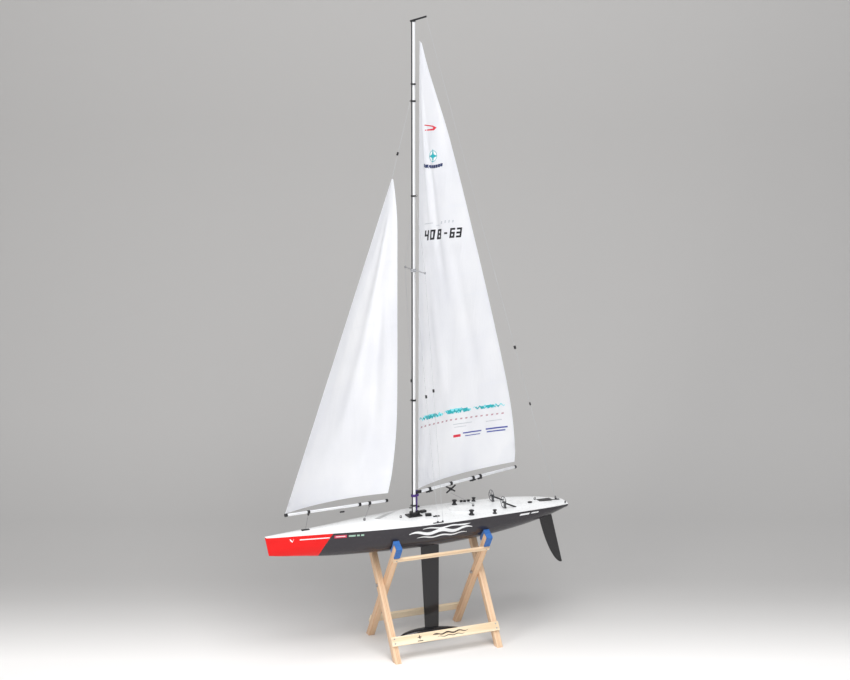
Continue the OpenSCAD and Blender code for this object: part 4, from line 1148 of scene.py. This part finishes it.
def jib():
    cloth = sail_sheet("jib_cloth", jib_point, "jib", "jib_boom")
    tapes = [
        ("luff_band", [(0, 0), (0.03, 0), (0.3, 1), (0, 1)], dict(nu=3, nv=80)),
        ("foot_tape", [(0, 0), (1, 0), (1, 0.009), (0, 0.009)], dict(nu=36, nv=2)),
        ("leech_tape", [(0.982, 0), (1, 0), (1, 1), (0.9, 1)], dict(nu=2, nv=80)),
        ("head_patch", [(0, 0.9), (0.6, 0.9), (1, 1), (0, 1)], {}),
        ("clew_patch", [(0.8, 0), (1, 0), (1, 0.07), (0.86, 0.045)], {}),
        ("tack_patch", [(0, 0), (0.19, 0), (0.13, 0.045), (0, 0.07)], {}),
    ]
    battens = [(0.3, 0.2), (0.52, 0.24), (0.74, 0.3)]
    parts = sewn_parts("jib", jib_point, "jib_boom", tapes, battens, (0.006, 12),
                       [k / 5.5 for k in range(1, 5)], (0.005, 0.008, 0.003, 26))


# ------------------------------------------------------------------ pads


def pad_piece(name, cad, body, side):
    """Foam strip folded over a leg: a U outline as long as the CAD part, rounded, with a soft
    rim.
    """
    low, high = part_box(cad)
    low, high = Vector(low) / MM, Vector(high) / MM
    leg, foot, crest = 10.0, 133.0, 174.5
    reach = leg + 4.5
    fore = high.x if cad.endswith("fore") else low.x
    outline = [(-reach - 9, foot), (-reach - 9, crest), (reach, crest), (reach, foot),
               (leg, foot), (leg, crest - 4.5), (-leg, crest - 4.5), (-leg, foot)]
    points = []
    for p in rounded([Vector((*q, 0)) for q in outline], 2.6, 5):
        y = p.x * math.cos(LEAN) + p.y * math.sin(LEAN)
        z = CROSS_Z - p.x * math.sin(LEAN) + p.y * math.cos(LEAN)
        points.append((y, z))
    shaped = []
    for y, z in subdivide(points, 2.0):
        shaped.append(press(y, z, fore))
    bm = bmesh.new()
    turn = Matrix(((0, 0, 1, low.x), (side, 0, 0, 0), (0, 1, 0, 0), (0, 0, 0, 1)))
    prism_bm(bm, shaped, turn, high.x - low.x, 1.2, 3)
    obj = from_bm(name, bm, [M["foam"]], 50)
    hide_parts(cad)
    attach(obj, body)
    return obj


def subdivide(points, step):
    out = []
    for i, p in enumerate(points):
        q = points[(i + 1) % len(points)]
        n = max(1, int(math.dist(p, q) / step))
        out += [(lerp(p[0], q[0], k / n), lerp(p[1], q[1], k / n)) for k in range(n)]
    return out


def press(y, z, x):
    """Keeps a foam point outside the hull, with a hair of room."""
    top, bottom = sheer(x), keel(x)
    if z < bottom - 0.3:
        return y, z
    t = ramp((top - z) / (top - bottom))
    b = beam(x) * max(0.0, 1 - t ** fullness(x)) ** (1 / fullness(x)) + 0.4
    return max(y, b), z


# ------------------------------------------------------------------ small fittings


def rail_point(a, b, out=0.2):
    """A point on the outer face of the near bottom rail: a along it, b up its middle."""
    across, up = -18 - out, -182 + b
    return Vector((a, across * math.cos(LEAN) + up * math.sin(LEAN),
                   CROSS_Z - across * math.sin(LEAN) + up * math.cos(LEAN)))


def rail_marks():
    star = [(-50 + r * math.sin(math.pi * k / 4), 2 + r * math.cos(math.pi * k / 4))
            for k, r in enumerate((8, 2.6) * 4)]
    waves = [wave(-6, 112, 3, 4.6, 2.2, 3), wave(8, 98, -5.5, 2.4, 1.4, 3)]
    decal("rail_mark", [star, bar(-59, -10.5, 18, 2.6)] + waves, rail_point, "burn", "stand")


WINCHES = [(146, 62, 1.0), (146, -62, 1.0), (219, 75, 0.8), (219, -75, 0.8)]


def winches():
    """Ribbed sheet winches: skirted base, waist and knurled drum top."""
    bm = bmesh.new()
    profile = [(0, 0), (8.1, 0), (8.5, 0.4), (8.5, 1.7), (8.2, 2.1), (7.0, 3.3), (5.6, 5.1),
               (4.7, 6.9), (4.6, 9), (5.4, 10.4), (6.9, 12.2), (7.7, 12.9), (8, 13.4),
               (8, 15), (7.6, 15.6), (5.4, 16.4), (4.6, 16.6), (4.2, 15.9), (2.6, 15.7),
               (2.2, 16.5), (0, 16.6)]
    for x, y, k in WINCHES:
        place = Matrix.Translation((x, y, deck_top(x, y) - 0.6)) @ Matrix.Scale(k, 4)
        start = len(bm.verts)
        lathe_bm(bm, profile, place, 48)
        bm.verts.ensure_lookup_table()
        for v in bm.verts[start:]:
            local = place.inverted() @ v.co
            r = math.hypot(local.x, local.y)
            if 4.4 < r < 8.2 and 5 < local.z < 15.4:
                turn = 1 - 0.045 * (math.cos(12 * math.atan2(local.y, local.x)) > 0)
                v.co = place @ Vector((local.x * turn, local.y * turn, local.z))
    obj = from_bm("winch_castings", bm, [M["black"]], 32)
    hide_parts("deck_winches")
    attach(obj, "hull")


def line_piece(name, a, b, radius=0.45):
    """A taut line between two points, cut into short lengths."""
    bm = bmesh.new()
    a, b = Vector(a), Vector(b)
    steps = 12
    for k in range(steps):
        tube_bm(bm, a.lerp(b, k / steps), a.lerp(b, (k + 1) / steps), radius, seg=10,
                caps=k in (0, steps - 1))
    bmesh.ops.remove_doubles(bm, verts=bm.verts, dist=0.02)
    return from_bm(name, bm, [M["line_dark"]], 80)


def running_lines():
    c, d = math.cos(MAIN_ANGLE), math.sin(MAIN_ANGLE)
    main_top = (GOOSE.x + 130 * c, 130 * d, GOOSE.z + 130 * math.tan(BOOM_RISE) - 30)
    routes = [("main_sheet_line", (190, 18, 417), main_top, "main_boom"),
              ("jib_sheet_line", (-182, 0, 416.5), (-160, 15.6, 450), "jib_boom"),
              ("jib_tack_line", (-370.8, 0, 407.4), (-362.4, 0, 448.6), None)]
    for name, a, b, boom in routes:
        piece = line_piece(name, a, b)
        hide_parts("sheets")
        if boom:
            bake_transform(piece)
        else:
            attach(piece, "hull")


def bead(name, p, axis, radius, length, body):
    """A small turned fitting with rounded ends and a waist."""
    bm = bmesh.new()
    half = length / 2
    profile = [(0, -half), (radius * 0.6, -half), (radius, -half * 0.78), (radius, -half * 0.3),
               (radius * 0.78, 0), (radius, half * 0.3), (radius, half * 0.78),
               (radius * 0.6, half), (0, half)]
    turn = Vector(axis).to_track_quat("Z", "Y").to_matrix().to_4x4()
    lathe_bm(bm, profile, Matrix.Translation(p) @ turn, 24)
    obj = from_bm(name, bm, [M["black"]], 40)
    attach(obj, body)


def boom_extras():
    """Longer boom slides and the halyard's adjuster."""
    c, d = math.cos(MAIN_ANGLE), math.sin(MAIN_ANGLE)
    for k, (a, size) in enumerate(((48, 13), (216, 12), (244, 9))):
        p = (GOOSE.x + a * c, a * d, GOOSE.z + a * math.tan(BOOM_RISE) - 7.6)
        bead(f"boom_slide_{k}", p, (c, d, math.tan(BOOM_RISE)), 2.5, 2 * size, "main_boom")
    bead("halyard_adjuster", JIB_FRAME @ Vector((-70.0, 0, 1511)),
         (JIB_HOOK - JIB_SWIVEL), 3.2, 10, "jib_boom")


# ------------------------------------------------------------------ run

hull_skin()
hull_marks()
deck_moulding()
keel_fin()
ballast_bulb()
rudder_blade()
mainsail()
jib()
pad_piece("pad_outer_fore", "outer_pad_fore", "stand", 1)
pad_piece("pad_outer_aft", "outer_pad_aft", "stand", 1)
pad_piece("pad_inner_fore", "inner_pad_fore", "stand_inner", -1)
pad_piece("pad_inner_aft", "inner_pad_aft", "stand_inner", -1)
for end in ("fore", "aft"):
    soften(f"leg_outer_{end}", f"outer_leg_{end}", 0.7, [M["pine_out"]], "stand")
    soften(f"leg_inner_{end}", f"inner_leg_{end}", 0.7, [M["pine_in"]], "stand_inner")
soften("rail_outer_bottom", "outer_bottom_rail", 0.6, [M["pine_x"]], "stand")
soften("rail_inner_bottom", "inner_bottom_rail", 0.6, [M["pine_x"]], "stand_inner")
soften("rail_outer_top", "outer_top_rail", 0.6, [M["pine_x2"]], "stand")
soften("rail_inner_top", "inner_top_rail", 0.6, [M["pine_x2"]], "stand_inner")


# ------------------------------------------------------------------ studio


def backdrop():
    """Pale floor that sweeps up into the wall behind, with painted light falloff: lighter near
    the front, darker up the wall.
    """
    verts, faces = [], []
    cam = Vector((-1.9804, -4.4751, 0))
    aim = Vector((0.0178, 0, 0))
    ahead = (aim - cam).normalized()
    across = Vector((ahead.y, -ahead.x, 0))
    path = [(-4.5, 0.0), (0.55, 0.0)]
    for k in range(1, 17):
        a = math.pi / 2 * k / 16
        path.append((0.55 + 1.5 * math.sin(a), 1.5 * (1 - math.cos(a))))
    path.append((2.05, 5.5))
    for d, h in path:
        for w in (-6, 6):
            p = aim + ahead * d + across * w
            verts.append((p.x / MM, p.y / MM, h / MM))
    for j in range(len(path) - 1):
        a = 2 * j
        faces.append((a, a + 1, a + 3, a + 2))
    mat, tree, bsdf = material("studio_sweep")
    depth = node(tree, "ShaderNodeVectorMath", operation="DOT_PRODUCT")
    tree.links.new(coords(tree), depth.inputs[0])
    depth.inputs[1].default_value = ahead
    # Colour by distance along the view: painted light falloff, bright on the near floor and
    # darker on the wall.
    along = map_range(tree, depth.outputs["Value"], -0.3, 1.5, 0, 1)
    stops = [(0.0, 0.90), (0.083, 0.88), (0.17, 0.76), (0.28, 0.62), (0.39, 0.52),
             (0.5, 0.47), (0.75, 0.42), (1.0, 0.445)]
    tree.links.new(color_ramp(tree, along, [(a, (v, v * 0.985, v * 0.97)) for a, v in stops]),
                   bsdf.inputs["Base Color"])
    bsdf.inputs["Roughness"].default_value = 0.9
    bsdf.inputs["Specular IOR Level"].default_value = 0.1
    obj = build("studio_sweep", verts, faces, [mat], None, 60)


def area_light(name, spot, aim, size, power, color=(1, 1, 1), size_y=None):
    data = bpy.data.lights.new(name, "AREA")
    data.energy = power
    data.color = color
    data.shape = "RECTANGLE"
    data.size = size
    data.size_y = size_y or size
    obj = bpy.data.objects.new(name, data)
    bpy.context.scene.collection.objects.link(obj)
    obj.location = spot
    obj.rotation_euler = (Vector(aim) - Vector(spot)).to_track_quat("-Z", "Y").to_euler()
    return obj


def lights():
    scene = bpy.context.scene
    scene.view_settings.view_transform = "Standard"
    world = bpy.data.worlds.new("studio")
    world.use_nodes = True
    world.node_tree.nodes["Background"].inputs["Color"].default_value = (0.95, 0.96, 1, 1)
    world.node_tree.nodes["Background"].inputs["Strength"].default_value = 0.34
    scene.world = world
    area_light("top", (-0.3, -1.2, 4.4), (0, 0, 0.4), 3.0, 105)
    area_light("left", (-4.2, -2.0, 2.4), (0, 0, 0.9), 1.5, 70, (1, 0.985, 0.96), 3.0)
    area_light("right", (3.4, -3.6, 2.4), (0, 0, 0.8), 2.0, 16, (0.96, 0.98, 1), 3.0)
    area_light("front", (-1.2, -5.0, 3.4), (0, 0, 1.0), 2.0, 30)
    area_light("floor_glow", (-0.6, -2.6, 3.4), (-0.5, -1.4, 0), 2.4, 55)


def camera():
    data = bpy.data.cameras.new("camera")
    data.lens = 70.2
    data.sensor_width = 36
    obj = bpy.data.objects.new("camera", data)
    bpy.context.scene.collection.objects.link(obj)
    obj.location = (-1.9804, -4.4751, 1.8349)
    aim = Vector((0.0178, 0, 0.9514))
    obj.rotation_euler = (aim - obj.location).to_track_quat("-Z", "Y").to_euler()
    bpy.context.scene.camera = obj


rail_marks()
winches()
running_lines()
boom_extras()
backdrop()
lights()
camera()
